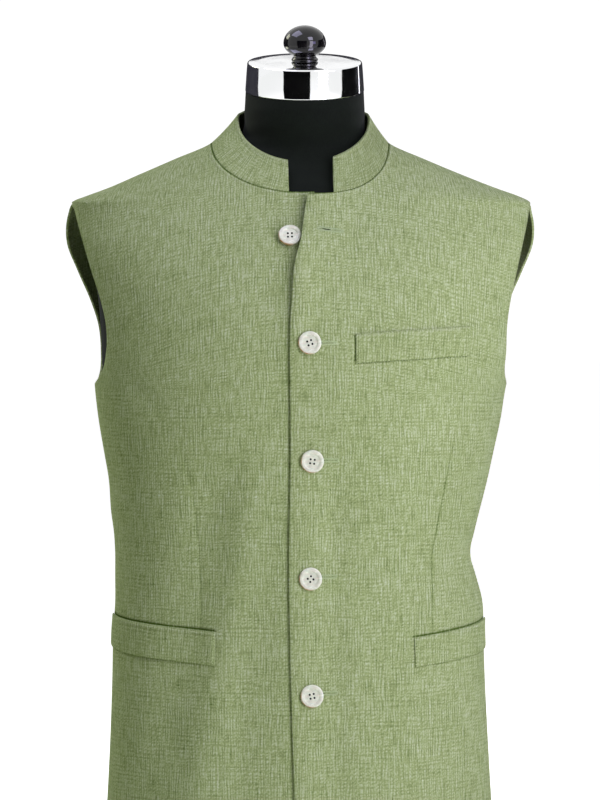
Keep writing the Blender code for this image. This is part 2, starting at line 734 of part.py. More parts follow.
def add_form():
    """Add the dress form's torso with its neck, on a flat closed bottom."""
    turns = np.linspace(0, 2 * np.pi, FORM_COLUMNS, endpoint=False)
    rings = []
    for row in rows(FORM_COLUMNS_TABLE, FORM_ROWS):
        depth = np.where(np.cos(turns) >= 0, row["front"], row["back"]) * MM
        radius = superellipse(turns, row["half_width"] * MM, depth, row["power"])
        x = radius * np.sin(turns) + row["lean"] * MM
        rings.append(np.stack((x, -radius * np.cos(turns), np.full_like(x, row["z"] * MM)), axis=-1))
    disc = np.stack((np.sin(turns), -np.cos(turns), 0 * turns), axis=-1) * NECK_TOP_RADIUS
    lean = np.array(Matrix.Rotation(CAP_LEAN, 3, "X"))
    rings.append(disc @ lean.T + np.array(NECK_TOP))
    points = np.concatenate(rings)
    faces = []
    for ring in range(len(rings) - 1):
        for step in range(FORM_COLUMNS):
            after = (step + 1) % FORM_COLUMNS
            low = ring * FORM_COLUMNS
            faces.append((low + step, low + after, low + FORM_COLUMNS + after, low + FORM_COLUMNS + step))
    faces.append(tuple(reversed(range(FORM_COLUMNS))))
    last = (len(rings) - 1) * FORM_COLUMNS
    faces.append(tuple(range(last, last + FORM_COLUMNS)))
    return add_solid("form_torso", points, faces, "form_cloth")


def add_neck_fittings():
    """Add the cap on the neck and the knob on the cap, on one leaning axis."""
    lean = Matrix.Translation(NECK_TOP) @ Matrix.Rotation(CAP_LEAN, 4, "X")
    low_edge = arc((CAP_LOW_RADIUS - CAP_BEVEL, CAP_BEVEL), CAP_BEVEL, -math.pi / 2, 0, 3)
    top_edge = arc((CAP_TOP_RADIUS - CAP_BEVEL, CAP_HEIGHT - CAP_BEVEL), CAP_BEVEL, 0, math.pi / 2, 3)
    cap = add_solid("neck_cap", *turned_body(low_edge + top_edge, ROUND_SIDES), "chrome")
    cap.matrix_world = lean @ Matrix.Translation((0, 0, SEAT_GAP))
    foot = [(row["radius"] * MM, row["height"] * MM) for row in rows(KNOB_FOOT_COLUMNS, KNOB_FOOT_ROWS)]
    ball = []
    for step in range(1, KNOB_STEPS + 1):
        turn = KNOB_LOW_TURN + (KNOB_HIGH_TURN - KNOB_LOW_TURN) * step / KNOB_STEPS
        reach = KNOB_BALL_Z - KNOB_FOOT_HEIGHT if turn < 0 else KNOB_HEIGHT - KNOB_BALL_Z
        ball.append((KNOB_BALL_RADIUS * math.cos(turn), KNOB_BALL_Z + reach * math.sin(turn)))
    knob = add_solid("cap_knob", *turned_body(foot + ball, ROUND_SIDES), "black_gloss")
    knob.matrix_world = lean @ Matrix.Translation((0, 0, CAP_HEIGHT + 2 * SEAT_GAP))


def centre_on_footprint():
    """Move everything so that the middle of the footprint is the origin."""
    bpy.context.view_layer.update()
    corners = []
    for item in bpy.data.objects:
        corners += [item.matrix_world @ vertex.co for vertex in item.data.vertices]
    x_middle = (min(corner.x for corner in corners) + max(corner.x for corner in corners)) / 2
    y_middle = (min(corner.y for corner in corners) + max(corner.y for corner in corners)) / 2
    for item in bpy.data.objects:
        item.location.x -= x_middle
        item.location.y -= y_middle


def main():
    for item in list(bpy.data.objects):
        bpy.data.objects.remove(item)
    add_form()
    grids = {"back": back_grid(), "front_right": front_grid("right"), "front_left": front_grid("left")}
    for name, grid in grids.items():
        add_panel(name, grid, first=name == "back", last=True, top=True)
    add_collar(grids)
    for row in rows(WELT_COLUMNS, WELT_ROWS):
        add_welt(row)
    add_buttons()
    add_neck_fittings()
    centre_on_footprint()


main()
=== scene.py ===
"""Looks of the nehru jacket on its dress form: fine cloth, sewing, buttons, cap, light and camera."""
import math

import bmesh
import bpy
import numpy as np
from mathutils import Matrix, Vector
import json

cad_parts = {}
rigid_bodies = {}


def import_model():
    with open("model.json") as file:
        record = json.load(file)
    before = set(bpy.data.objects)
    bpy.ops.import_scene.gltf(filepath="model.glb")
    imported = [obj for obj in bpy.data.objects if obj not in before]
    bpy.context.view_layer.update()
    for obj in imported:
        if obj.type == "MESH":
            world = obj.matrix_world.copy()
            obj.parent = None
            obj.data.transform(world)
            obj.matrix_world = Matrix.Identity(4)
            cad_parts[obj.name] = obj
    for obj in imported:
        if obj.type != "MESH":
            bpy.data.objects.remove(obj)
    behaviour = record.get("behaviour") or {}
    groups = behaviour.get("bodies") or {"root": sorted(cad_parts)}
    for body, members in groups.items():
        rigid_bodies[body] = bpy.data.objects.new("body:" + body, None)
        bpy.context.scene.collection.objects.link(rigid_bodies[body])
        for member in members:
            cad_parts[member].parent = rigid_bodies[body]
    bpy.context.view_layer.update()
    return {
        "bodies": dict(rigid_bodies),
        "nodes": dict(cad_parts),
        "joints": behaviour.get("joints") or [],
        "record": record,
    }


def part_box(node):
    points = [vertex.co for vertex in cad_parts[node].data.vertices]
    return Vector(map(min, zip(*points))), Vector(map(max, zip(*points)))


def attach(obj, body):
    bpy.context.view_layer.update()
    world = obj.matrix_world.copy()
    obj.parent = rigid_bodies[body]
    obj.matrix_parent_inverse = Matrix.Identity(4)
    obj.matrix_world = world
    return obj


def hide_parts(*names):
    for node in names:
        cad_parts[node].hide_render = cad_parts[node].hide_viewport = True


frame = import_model()

MM = 0.001


def table(columns, *rows):
    """Rows of a table as dictionaries by column name."""
    return [dict(zip(columns.split(), row)) for row in rows]


# Photograph: one pixel is one millimetre at the shoulders' plane
CAMERA_DISTANCE = 3.2
CAMERA_HEIGHT = 0.625
PICTURE_MIDDLE_Z = 0.525
PICTURE_HEIGHT = 0.800
SENSOR = 36.0

# Heights and neckline, as in the solids
HEM_Z = 0.060
UNDERARM_Z = 0.541
TIP_Z = 0.723
NECK_SIDE_Z = 0.782
EDGE_CHEST_Z = UNDERARM_Z - 0.020
EDGE_SHOULDER_Z = TIP_Z - 0.040
EDGE_NECK_RISE = 0.009
NECK_HALF_WIDTH = 0.088
NECK_DROP_RIGHT = 0.0515
NECK_DROP_LEFT = 0.057
NECK_POWER_LEFT = 2.3
NECK_RISE_BACK = 0.006
NECK_TURN = 0.35

# Cloth walls, clearances and the lap of the fronts, as in the solids
CLOTH = 0.0022
COLLAR_WALL = 0.0026
WELT_WALL = 0.0018
SEAM_GAP = 0.0003
LAY_GAP = 0.0005
LAP_RISE = 0.0020
LAP_SINK = 0.0010
LAP_REACH = 0.045
LIFT_RISE = 0.0050
LIFT_REACH = 0.060
LIFT_LOW_Z = 0.600
LIFT_HIGH_Z = 0.690

# Collar, as in the solids
COLLAR_TOP_X = 0.00325
COLLAR_TOP_HALF_WIDTH = 0.06575
COLLAR_TOP_FRONT = 0.061
COLLAR_TOP_BACK = 0.068
COLLAR_TOP_SIDE_Z = 0.808
COLLAR_TOP_DROP = 0.0466
COLLAR_TOP_RISE = 0.018
COLLAR_BOW = 0.0008
COLLAR_LEFT_END = (0.0327, 0.0324)
COLLAR_RIGHT_END = (-0.0107, -0.0118)

# Buttons, cap and knob, as in the solids
BUTTON_RADIUS = 0.01115
BUTTON_HEIGHT = 0.0034
BUTTON_DISH_RADIUS = 0.0072
BUTTON_DISH_DEPTH = 0.0009
BUTTON_HOLE_RADIUS = 0.00095
BUTTON_HOLE_OFFSET = 0.00195
BUTTON_SEAT = 0.0007
BUTTON_ROUNDING = 0.0012
BUTTON_SIDES = 72
DRILL_SIDES = 20
NECK_TOP = (0.0047, 0.003, 0.8330)
NECK_TOP_RADIUS = 0.0590
CAP_LEAN = math.radians(13.0)
CAP_HEIGHT = 0.0300
CAP_LOW_RADIUS = 0.0593
CAP_TOP_RADIUS = 0.0573
CAP_LOW_ROUNDING = 0.0016
CAP_TOP_ROUNDING = 0.0022
CAP_SIDES = 160
SEAT_GAP = 0.0003
KNOB_HEIGHT = 0.0355
KNOB_RADIUS = 0.02125
KNOB_MIDDLE = 0.0180
KNOB_FALL = 0.0140
KNOB_SIDES = 96

# How many fine cells lie along one cell of the solids
FINE = 6
FRONT_COLUMNS = 16
LAP_COLUMNS = 3
BACK_COLUMNS = 24
SIDE_ROWS = 15
ARMHOLE_ROWS = 8
SHOULDER_ROWS = 6
COLLAR_ROWS = 3

# Points of a path before it is cut into even steps
PATH_STEPS = 2001

# Cloth's outer face in millimetres, as in the solids
SECTIONS = table(
    "z right_front left_front right_back left_back front back",
    (60, 197, 196, 197, 196, 128, 132),
    (130, 193, 191.5, 193, 191.5, 127, 132),
    (190, 190, 188, 190, 188, 124, 130),
    (250, 188, 185, 188, 185, 121, 124),
    (295, 187, 183.5, 187, 183.5, 119, 116),
    (325, 185, 182.5, 185, 182.5, 118, 110),
    (350, 185, 176, 185, 176, 118, 106),
    (374, 185, 170, 185, 170, 118.5, 103),
    (392, 186, 174, 186, 174, 119.5, 103.5),
    (415, 189, 179.5, 189, 179.5, 121, 105),
    (445, 191, 187, 191, 187, 124, 110),
    (475, 196, 193.5, 196, 193.5, 128, 117),
    (505, 201, 200, 201, 200, 131, 124),
    (541, 205, 206, 205, 206, 134, 130),
    (560, 206, 211, 212, 213, 135, 133),
    (590, 209, 217, 223, 224, 134, 136.5),
    (620, 214, 221, 233, 234, 131, 138),
    (650, 222, 227, 241, 242, 123.5, 136.5),
    (680, 227, 231, 243, 243.5, 111, 131),
    (700, 226.5, 231.2, 239.5, 240, 99, 125),
    (716, 226.8, 229.8, 232.3, 232.8, 89, 118),
    (723, 227, 229, 227, 229, 85, 115),
    (729, 212, 216.6, 212, 216.6, 81.5, 112.3),
    (735, 195.5, 199.5, 195.5, 199.5, 77, 109),
    (750, 160.5, 161, 160.5, 161, 66, 101),
    (765, 126, 125, 126, 125, 55, 92.5),
    (782, 88, 88, 88, 88, 42, 84),
    (800, 84, 84, 84, 84, 30, 79),
)
SECTION_POWER = 2.3

ARMHOLES = table(
    "z right_front left_front right_back left_back",
    (541, 205, 206, 205, 206),
    (551, 197, 202.5, 203, 203),
    (575, 190, 203, 203, 203),
    (600, 190, 203.5, 206, 206),
    (625, 195.5, 207, 214, 214),
    (654, 205, 213.5, 226, 226),
    (684, 214.5, 220.5, 236, 236),
    (704, 221, 225.5, 235.1, 235.4),
    (715, 224.5, 227.8, 231.8, 232.3),
    (720, 227.3, 229.6, 229.6, 230.9),
    (723, 227, 229, 227, 229),
)

EDGES = table(
    "z left_x right_x",
    (60, -2, 38),
    (144, -5, 35),
    (228, -7.7, 32),
    (316, -9.8, 30.5),
    (389, -10.3, 30),
    (463, -9, 31),
    (539, -9.2, 31),
    (584, -9.6, 30),
    (633, -7.2, 26),
    (658, -4.8, 20),
    (680, 1, 15),
    (702, 4, 13),
    (733, 9, 14),
)

# Soft folds, as in the solids: angles in degrees, heights and rise in millimetres
FOLDS = table(
    "top top_z middle middle_z low low_z rise reach",
    (-16, 500, -31, 300, -48, 60, 3.0, 9),
    (-32, 500, -47, 300, -63, 60, -4.0, 10),
    (15.5, 500, 16, 380, 15, 60, -3.6, 7),
    (42, 545, 46, 330, 45, 60, 2.8, 13),
    (63, 450, 64, 405, 67, 350, -2.4, 6),
    (158, 500, 151, 300, 143, 60, -4.0, 9),
    (-163, 470, -152, 280, -140, 60, -4.0, 9),
    (176, 430, 178, 250, 181, 60, 2.6, 10),
    (117, 470, 121, 410, 127, 340, -2.6, 7),
    (-118, 460, -123, 400, -130, 330, -2.6, 7),
)
FOLD_FADE = 0.090

# How near to the side seams, as the cosine of the angle, the folds calm down
SEAM_CALM = 0.12

# Creases that the solids leave out, the first two rows being the fronts' broad ridge:
# girth from the front's middle (or, for the back, from the back's middle, towards the wearer's
# left) and height in millimetres at both ends, sag of the line between them, rise and reach
CREASE_COLUMNS = "x1 z1 x2 z2 sag rise reach"
FRONT_CREASES = table(
    CREASE_COLUMNS,
    (-7, 560, 3, 722, -2, 5.2, 16),
    (-6, 500, -2, 60, 0, 5.6, 30),
    (-54, 330, -64, 60, 4, -1.6, 16),
    (-186, 560, -120, 510, -6, -1.3, 9),
    (-196, 590, -140, 585, 5, -0.9, 8),
    (-200, 640, -150, 610, 4, -0.8, 9),
    (-228, 470, -165, 430, -8, -1.2, 10),
    (-235, 420, -180, 405, -4, -1.0, 8),
    (-60, 470, -110, 400, 6, -0.9, 12),
    (-25, 560, -70, 520, 4, 0.7, 12),
    (-24, 455, -64, 430, -3, -0.7, 8),
    (-22, 345, -60, 330, -3, -0.8, 9),
    (-150, 235, -110, 120, 8, -1.0, 12),
    (45, 575, 92, 530, 5, -0.7, 11),
    (36, 460, 82, 430, 3, -0.8, 9),
    (34, 350, 74, 322, 4, -0.9, 9),
    (190, 560, 128, 500, -7, -1.3, 10),
    (205, 600, 160, 560, 4, -0.8, 9),
    (232, 402, 168, 378, 5, -1.8, 8),
    (230, 372, 160, 360, -4, 1.2, 8),
    (226, 352, 176, 330, 4, -1.2, 9),
    (120, 250, 138, 110, 7, -1.0, 13),
    (190, 230, 205, 90, -5, -1.2, 12),
    (40, 690, 95, 655, 6, -0.8, 12),
    (-40, 695, -85, 660, -6, -0.7, 12),
    (110, 715, 165, 672, -6, 0.8, 14),
    (-110, 712, -160, 668, 6, 0.8, 14),
)
BACK_CREASES = table(
    CREASE_COLUMNS,
    (-190, 560, -120, 500, -7, -1.3, 10),
    (-215, 430, -150, 405, -5, -1.4, 9),
    (-225, 385, -120, 372, -6, -1.6, 9),
    (-150, 358, -40, 366, -6, -1.3, 10),
    (-90, 400, 10, 392, 5, -1.2, 10),
    (30, 372, 140, 356, 5, -1.5, 10),
    (120, 392, 222, 402, -5, -1.4, 9),
    (186, 565, 110, 505, 7, -1.2, 11),
    (210, 440, 160, 425, 4, -1.1, 8),
    (-120, 640, -70, 520, 10, -1.0, 15),
    (130, 650, 80, 520, -10, -1.1, 15),
    (-30, 300, -45, 150, 6, -1.0, 13),
    (60, 290, 72, 120, -6, -1.1, 13),
    (150, 260, 165, 100, 5, -1.0, 12),
    (-180, 250, -190, 100, -5, -1.1, 12),
    (-60, 752, -120, 715, 5, -0.7, 11),
    (60, 752, 118, 714, -5, -0.7, 11),
)

# Front darts: angle in degrees and height in millimetres at the top, middle and low end, and how
# strong the line is, which sets its groove's depth and how dark its painted shade is
DARTS = table(
    "top top_z middle middle_z low low_z dark",
    (-46.5, 525, -43.5, 415, -42.5, 302, 0.45),
    (58.5, 523, 57.0, 415, 54.0, 300, 0.9),
)
DART_DEPTH = 0.0009
DART_REACH = 0.0028
DART_SHOULDER = 0.008
DART_FADE = 0.080
DART_END = 0.006

WELTS = table(
    "name inner outer top_inner top_outer low_inner low_outer",
    ("chest_welt", 21.9, 59.7, 592.4, 599.5, 564.5, 571.0),
    ("pocket_welt_right", -36.4, -86.0, 303.7, 313.0, 271.0, 281.0),
    ("pocket_welt_left", 47.2, 86.0, 297.6, 309.0, 269.0, 279.0),
)
WELT = {row["name"]: row for row in WELTS}
WELT_CELLS = (72, 18)

# Where a welt is sewn down: the degrees at its ends, the share of its height at its low edge, and
# the share of its thickness left there
WELT_END = 1.6
WELT_LOW = 1 / 9
WELT_SEWN = 0.62

# Roundness of the cloth's edges
PANEL_RIM = 0.0008
COLLAR_RIM = 0.0010
WELT_RIM = 0.0007

# Lines of painted shade along the welts, each with a pressed groove: edge that the line follows, how far
# out it lies, and its strength
WELT_LINES = table(
    "name edge shift dark",
    ("pocket_welt_right", "top", 0.9, 2.2),
    ("pocket_welt_left", "top", 0.9, 1.9),
    ("pocket_welt_right", "low", -0.5, 0.35),
    ("pocket_welt_left", "low", -0.5, 0.35),
    ("chest_welt", "end", -0.4, 1.0),
    ("chest_welt", "low", -0.4, 0.7),
)

BUTTONS = table(
    "name front x z turn hole_x1 hole_x2 hole_z",
    ("button_1", "right", -9.7, 685.5, 2, 18.3, 40.5, 690.3),
    ("button_2", "left", 9.3, 583.8, 20, 10.5, 34.0, 583.8),
    ("button_3", "left", 11.8, 470.8, -8, 12.5, 35.5, 471.2),
    ("button_4", "left", 10.1, 356.5, 38, 11.0, 34.0, 357.9),
    ("button_5", "left", 11.5, 243.2, 12, 12.5, 35.0, 245.5),
)

FORM_RINGS = table(
    "z half_width front back lean power",
    (0, 178, 116, 120, 0, 2.3),
    (6, 184, 118, 122, 0, 2.3),
    (60, 185, 117, 121, 0, 2.3),
    (190, 177, 113, 119, 0, 2.3),
    (295, 172, 108, 105, 0, 2.3),
    (374, 159, 107.5, 92, 0, 2.3),
    (415, 168, 110, 94, 0, 2.3),
    (475, 184, 117, 106, 0, 2.3),
    (541, 196, 127, 122, 0, 2.3),
    (590, 198.5, 128.5, 129.5, 0, 2.3),
    (620, 200.5, 125.5, 131.5, 0, 2.3),
    (660, 207, 114, 128.5, 0, 2.3),
    (700, 214.5, 94, 119, 0, 2.3),
    (716, 216.5, 84, 112, 0, 2.25),
    (726, 205.5, 77.5, 108, 0, 2.25),
    (735, 187.2, 70, 102, 0, 2.15),
    (750, 152.2, 57.5, 93, 0, 2.0),
    (765, 115.4, 48, 84, 0, 1.7),
    (776, 82, 46.5, 76, 0.5, 1.5),
    (784, 66, 49, 71, 2.5, 1.65),
    (797, 60.5, 53.5, 67.5, 4.3, 1.95),
    (812, 60, 55.5, 63.5, 4.6, 2.0),
)
FORM_COLUMNS = 144
FORM_STEPS = 5

# The solids stand with their footprint's middle on the origin: this is where that moved them
form_low, form_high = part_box("form_torso")
SHIFT = Vector((
    (form_low[0] + form_high[0]) / 2,
    form_low[1] + max(row["front"] for row in FORM_RINGS) * MM,
    0.0,
))


def smooth_columns(rows):
    """A function of height for each column, smooth through the rows; only a power isn't in millimetres."""
    knots = np.array([row["z"] for row in rows]) * MM

    def through(values):
        slopes = np.gradient(values, knots)

        def read(z):
            z = np.clip(z, knots[0], knots[-1])
            low = np.clip(np.searchsorted(knots, z, side="right") - 1, 0, len(knots) - 2)
            span = knots[low + 1] - knots[low]
            t = (z - knots[low]) / span
            rise = values[low + 1] - values[low]
            start = slopes[low] * span
            end = slopes[low + 1] * span
            bend = (3 * rise - 2 * start - end) * t**2 + (start + end - 2 * rise) * t**3
            return values[low] + start * t + bend

        return read

    return {name: through(np.array([row[name] for row in rows]) * (1.0 if name == "power" else MM))
            for name in rows[0]}


def smoothstep(value):
    """0 below 0, 1 above 1, with no corners between."""
    value = np.clip(value, 0.0, 1.0)
    return value * value * (3.0 - 2.0 * value)


BODY = smooth_columns(SECTIONS)
ARMHOLE = smooth_columns(ARMHOLES)
EDGE = smooth_columns(EDGES)


def unit(vectors):
    """Vectors at length one."""
    return vectors / np.linalg.norm(vectors, axis=-1, keepdims=True)


def steps_along(points, axis=0):
    """Distance from each point to the next one along an axis of a grid."""
    return np.linalg.norm(np.diff(points, axis=axis), axis=-1)


def length_shares(points):
    """Share of a line's length at each of its points."""
    steps = steps_along(points)
    return np.concatenate(([0.0], np.cumsum(steps))) / steps.sum()


def superellipse(angle, width, depth, power):
    """Radius of a rounded oval at an angle from the front."""
    across = np.abs(np.sin(angle)) / width
    along = np.abs(np.cos(angle)) / depth
    return (across**power + along**power) ** (-1.0 / power)


def half_width(angle, z):
    """Half width of the section that an angle and a height lie in."""
    front = np.where(np.sin(angle) >= 0, BODY["left_front"](z), BODY["right_front"](z))
    back = np.where(np.sin(angle) >= 0, BODY["left_back"](z), BODY["right_back"](z))
    return np.where(np.cos(angle) >= 0, front, back)


def body_point(angle, z):
    """Point of the cloth's plain outer face."""
    depth = np.where(np.cos(angle) >= 0, BODY["front"](z), BODY["back"](z))
    radius = superellipse(angle, half_width(angle, z), depth, SECTION_POWER)
    return np.stack((radius * np.sin(angle), -radius * np.cos(angle), z + 0 * radius), axis=-1)


def body_normal(angle, z):
    """Outward direction of the cloth's plain outer face."""
    across = body_point(angle + 0.002, z) - body_point(angle - 0.002, z)
    up = body_point(angle, z + MM) - body_point(angle, z - MM)
    return unit(np.cross(across, up))


def from_axis(angle, z):
    """Distance of the plain outer face from the upright axis."""
    return np.linalg.norm(body_point(angle, z)[..., :2], axis=-1)


def angle_at(x, z, back=False):
    """Angle of the point that lies a distance x from the middle, on the front or the back."""
    face = "back" if back else "front"
    side = np.where(np.asarray(x) >= 0, BODY["left_" + face](z), BODY["right_" + face](z))
    share = np.clip(np.abs(x) / side, 0.0, 1.0)
    depth = BODY[face](z) * (1.0 - share**SECTION_POWER) ** (1.0 / SECTION_POWER)
    angle = np.arctan2(x, depth)
    return np.pi - angle if back else angle


def girth(angle, z, start=0.0, steps=24):
    """Length along the level section from a start angle, with the angle's sign."""
    shares = np.linspace(0, 1, steps + 1)
    spread = start + (angle - start)[..., None] * shares
    points = body_point(spread, z[..., None] + 0 * spread)
    return np.sign(angle - start) * steps_along(points, -2).sum(axis=-1)


def leaning_line(row, z):
    """Angle in degrees of a row's line at a height, and the line's lowest and highest height."""
    heights = [row[end] * MM for end in ("low_z", "middle_z", "top_z")]
    return np.interp(z, heights, [row["low"], row["middle"], row["top"]]), heights[0], heights[2]


def folds(angle, z):
    """How far the soft folds move the cloth out."""
    total = np.zeros(np.broadcast(angle, z).shape)
    for fold in FOLDS:
        line, low_z, top_z = leaning_line(fold, z)
        away = (np.degrees(angle) - line + 180.0) % 360.0 - 180.0
        fade = smoothstep((top_z - z) / FOLD_FADE)
        if low_z > HEM_Z:
            fade = fade * smoothstep((z - low_z) / FOLD_FADE + 0.5)
        total = total + fold["rise"] * MM * fade * np.exp(-((away / fold["reach"]) ** 2))
    return total


def creases(laid, across, z):
    """How far the small creases laid on a face move it out, by girth from its middle and height."""
    total = np.zeros(across.shape)
    share = np.linspace(0, 1, 21)
    for crease in laid:
        start = np.array((crease["x1"], crease["z1"])) * MM
        end = np.array((crease["x2"], crease["z2"])) * MM
        along = unit(end - start)
        bow = np.array((-along[1], along[0])) * crease["sag"] * MM
        line = start + (end - start) * share[:, None] + bow * (4 * share * (1 - share))[:, None]
        reach = crease["reach"] * MM
        box = (across > line[:, 0].min() - 3 * reach) & (across < line[:, 0].max() + 3 * reach)
        box &= (z > line[:, 1].min() - 3 * reach) & (z < line[:, 1].max() + 3 * reach)
        away = np.hypot(across[box][:, None] - line[:, 0], z[box][:, None] - line[:, 1])
        nearest = away.argmin(axis=1)
        strength = np.sin(np.pi * np.clip(share[nearest], 0.04, 0.96)) ** 0.8
        total[box] += crease["rise"] * MM * strength * np.exp(-((away.min(axis=1) / reach) ** 2))
    return total


def dart_lines(angle, z):
    """Distance across the cloth from each dart's line, and how strong the dart is there."""
    lines = []
    for dart in DARTS:
        line, low_z, top_z = leaning_line(dart, z)
        away = (angle - np.radians(line)) * from_axis(angle, z)
        fade = smoothstep((top_z - z) / DART_FADE) * smoothstep((z - low_z + DART_END / 2) / DART_END)
        lines.append((away, fade * dart["dark"]))
    return lines


def darts(angle, z):
    """The stitched line of each dart, with its cloth standing a little proud on both sides."""
    total = np.zeros(angle.shape)
    for away, fade in dart_lines(angle, z):
        groove = -DART_DEPTH * np.exp(-((away / DART_REACH) ** 2))
        shoulder = 0.35 * DART_DEPTH * np.exp(-(((np.abs(away) - DART_SHOULDER / 2) / DART_SHOULDER) ** 2))
        total += (groove + shoulder) * fade
    return total


def welt_place(welt, across):
    """Angle and heights of a welt's low and top edge, at a share of its width."""
    angle = np.radians(welt["inner"] + (welt["outer"] - welt["inner"]) * across)
    low = (welt["low_inner"] + (welt["low_outer"] - welt["low_inner"]) * across) * MM
    top = (welt["top_inner"] + (welt["top_outer"] - welt["top_inner"]) * across) * MM
    return angle, low, top


def welt_lines(angle, z):
    """Distance from each line of painted shade along a welt's edges, and how dark the line is there."""
    lines = []
    for row in WELT_LINES:
        welt = WELT[row["name"]]
        across = (np.degrees(angle) - welt["inner"]) / (welt["outer"] - welt["inner"])
        low, top = welt_place(welt, across)[1:]
        up = (z - low) / (top - low)
        if row["edge"] == "end":
            away = np.abs(np.radians(welt["outer"] - welt["inner"])) * across * from_axis(angle, z)
            inside = np.minimum(up, 1 - up) * 8
        else:
            away = z - top if row["edge"] == "top" else z - low
            inside = np.minimum(across, 1 - across) * 20
        lines.append((away - row["shift"] * MM, row["dark"] * smoothstep(inside + 0.5)))
    return lines


# A line fainter than this counts as lying further away
FAINT = 0.01
FAINT_AWAY = 0.05


def line_map(lines):
    """Map for the linen: 1 plus the distance from the nearest line, and the line's strength."""
    away = np.array([line[0] for line in lines])
    dark = np.array([line[1] for line in lines])
    nearest = np.argmin(np.abs(away) + FAINT_AWAY * (dark < FAINT), axis=0)[None]
    return np.stack((1.0 + np.take_along_axis(away, nearest, axis=0)[0],
                     np.take_along_axis(dark, nearest, axis=0)[0]), axis=-1)


def seam_calm(angle):
    """1 away from the side seams and 0 on them, so that front and back meet."""
    return smoothstep(np.abs(np.cos(angle)) / SEAM_CALM)


def lap(piece, angle, z):
    """How far the lap and the undone top move one front's outer face."""
    x = body_point(angle, z)[..., 0]
    if piece == "front_right":
        return -LAP_SINK * (1 - smoothstep((EDGE["left_x"](z) - x) / LAP_REACH))
    lift = smoothstep((z - LIFT_LOW_Z) / (LIFT_HIGH_Z - LIFT_LOW_Z))
    lift = LIFT_RISE * lift * (1 - smoothstep((x - EDGE["left_x"](z)) / LIFT_REACH))
    return LAP_RISE * (1 - smoothstep((x - EDGE["right_x"](z)) / LAP_REACH)) + lift


def fine_relief(piece, angle, z):
    """Distance that a piece's fine outer face lies out from the plain face."""
    if piece == "back":
        return (folds(angle, z) + creases(BACK_CREASES, -girth(angle, z, np.pi), z)) * seam_calm(angle)
    small = creases(FRONT_CREASES, girth(angle, z), z)
    return (folds(angle, z) + small) * seam_calm(angle) + darts(angle, z) + lap(piece, angle, z)


def cloth_point(piece, angle, z, out=0.0):
    """Point of a piece's fine outer face, moved out by a distance."""
    return body_point(angle, z) + body_normal(angle, z) * (fine_relief(piece, angle, z) + out)[..., None]


def neck_line(turn, is_left):
    """Distance from the middle and height of the neckline at a turn round the neck."""
    sine = np.abs(np.sin(turn))
    cosine = np.cos(turn)
    share = smoothstep((cosine + NECK_TURN) / (2 * NECK_TURN))
    lapping = np.maximum(1.0 - sine**NECK_POWER_LEFT, 0.0) ** (1.0 / NECK_POWER_LEFT)
    fall = np.where(is_left & (cosine > 0), lapping, cosine)
    drop_front = np.where(is_left, NECK_DROP_LEFT, NECK_DROP_RIGHT)
    drop = NECK_RISE_BACK + (drop_front - NECK_RISE_BACK) * share
    z = NECK_SIDE_Z - drop * fall
    reach = np.where(cosine < 0, BODY["left_back"](z), NECK_HALF_WIDTH)
    return reach * np.sin(turn), z


def neck_path(start, end, side=None):
    """Angles and heights of one panel's neckline between two turns, closely spaced."""
    turn = np.linspace(start, end, PATH_STEPS)
    x, z = neck_line(turn, side == "left" if side else np.sin(turn) > 0)
    is_back = np.cos(turn) < 0
    angle = np.where(is_back, angle_at(x, z, back=True), angle_at(x, z))
    if end > np.pi:
        angle = np.where(angle < 0, angle + 2 * np.pi, angle)
    return angle, z


def evenly(angle, z):
    """A function from a share of a path's length to its angle and height."""
    share = length_shares(body_point(angle, z))

    def read(at):
        return np.stack((np.interp(at, share, angle), np.interp(at, share, z)), axis=-1)

    return read


def side_boundary(side, face):
    """Side seam, armhole and shoulder seam of one panel, from hem to neck, row by row."""
    turned = -1.0 if side == "right" else 1.0
    back = face == "back"
    seam_angle = turned * np.pi / 2
    if back and side == "right":
        seam_angle = 1.5 * np.pi
    low = HEM_Z + (UNDERARM_Z - HEM_Z) * np.linspace(0, 1, SIDE_ROWS * FINE + 1)
    seam = np.stack((np.full_like(low, seam_angle), low), axis=-1)
    height = UNDERARM_Z + (TIP_Z - UNDERARM_Z) * np.linspace(0, 1, 2000) ** 2
    edge = ARMHOLE[side + "_" + face](height)
    widest = BODY[side + "_" + face](height)
    angle = angle_at(turned * np.minimum(edge, widest), height, back)
    if back and side == "right":
        angle = angle % (2 * np.pi)
    angle[0] = seam_angle
    angle[-1] = seam_angle
    armhole = evenly(angle, height)(np.linspace(0, 1, ARMHOLE_ROWS * FINE + 1))
    top = TIP_Z + (NECK_SIDE_Z - TIP_Z) * np.linspace(0, 1, SHOULDER_ROWS * FINE + 1)
    shoulder = np.stack((np.full_like(top, seam_angle), top), axis=-1)
    return np.concatenate((seam, armhole[1:], shoulder[1:]))


def front_boundary(side):
    """Front edge of one front, from hem to neck, row by row."""
    edge = EDGE[side + "_x"]
    neck_x = edge(TIP_Z + EDGE_NECK_RISE)
    neck_turn = math.asin(neck_x / NECK_HALF_WIDTH)
    neck_z = float(neck_line(neck_turn, side == "left")[1])
    heights = np.concatenate((
        np.linspace(HEM_Z, EDGE_CHEST_Z, SIDE_ROWS * FINE + 1),
        np.linspace(EDGE_CHEST_Z, EDGE_SHOULDER_Z, ARMHOLE_ROWS * FINE + 1)[1:],
        np.linspace(EDGE_SHOULDER_Z, neck_z, SHOULDER_ROWS * FINE + 1)[1:],
    ))
    x = edge(heights)
    x[-1] = neck_x
    return np.stack((angle_at(x, heights), heights), axis=-1), neck_turn


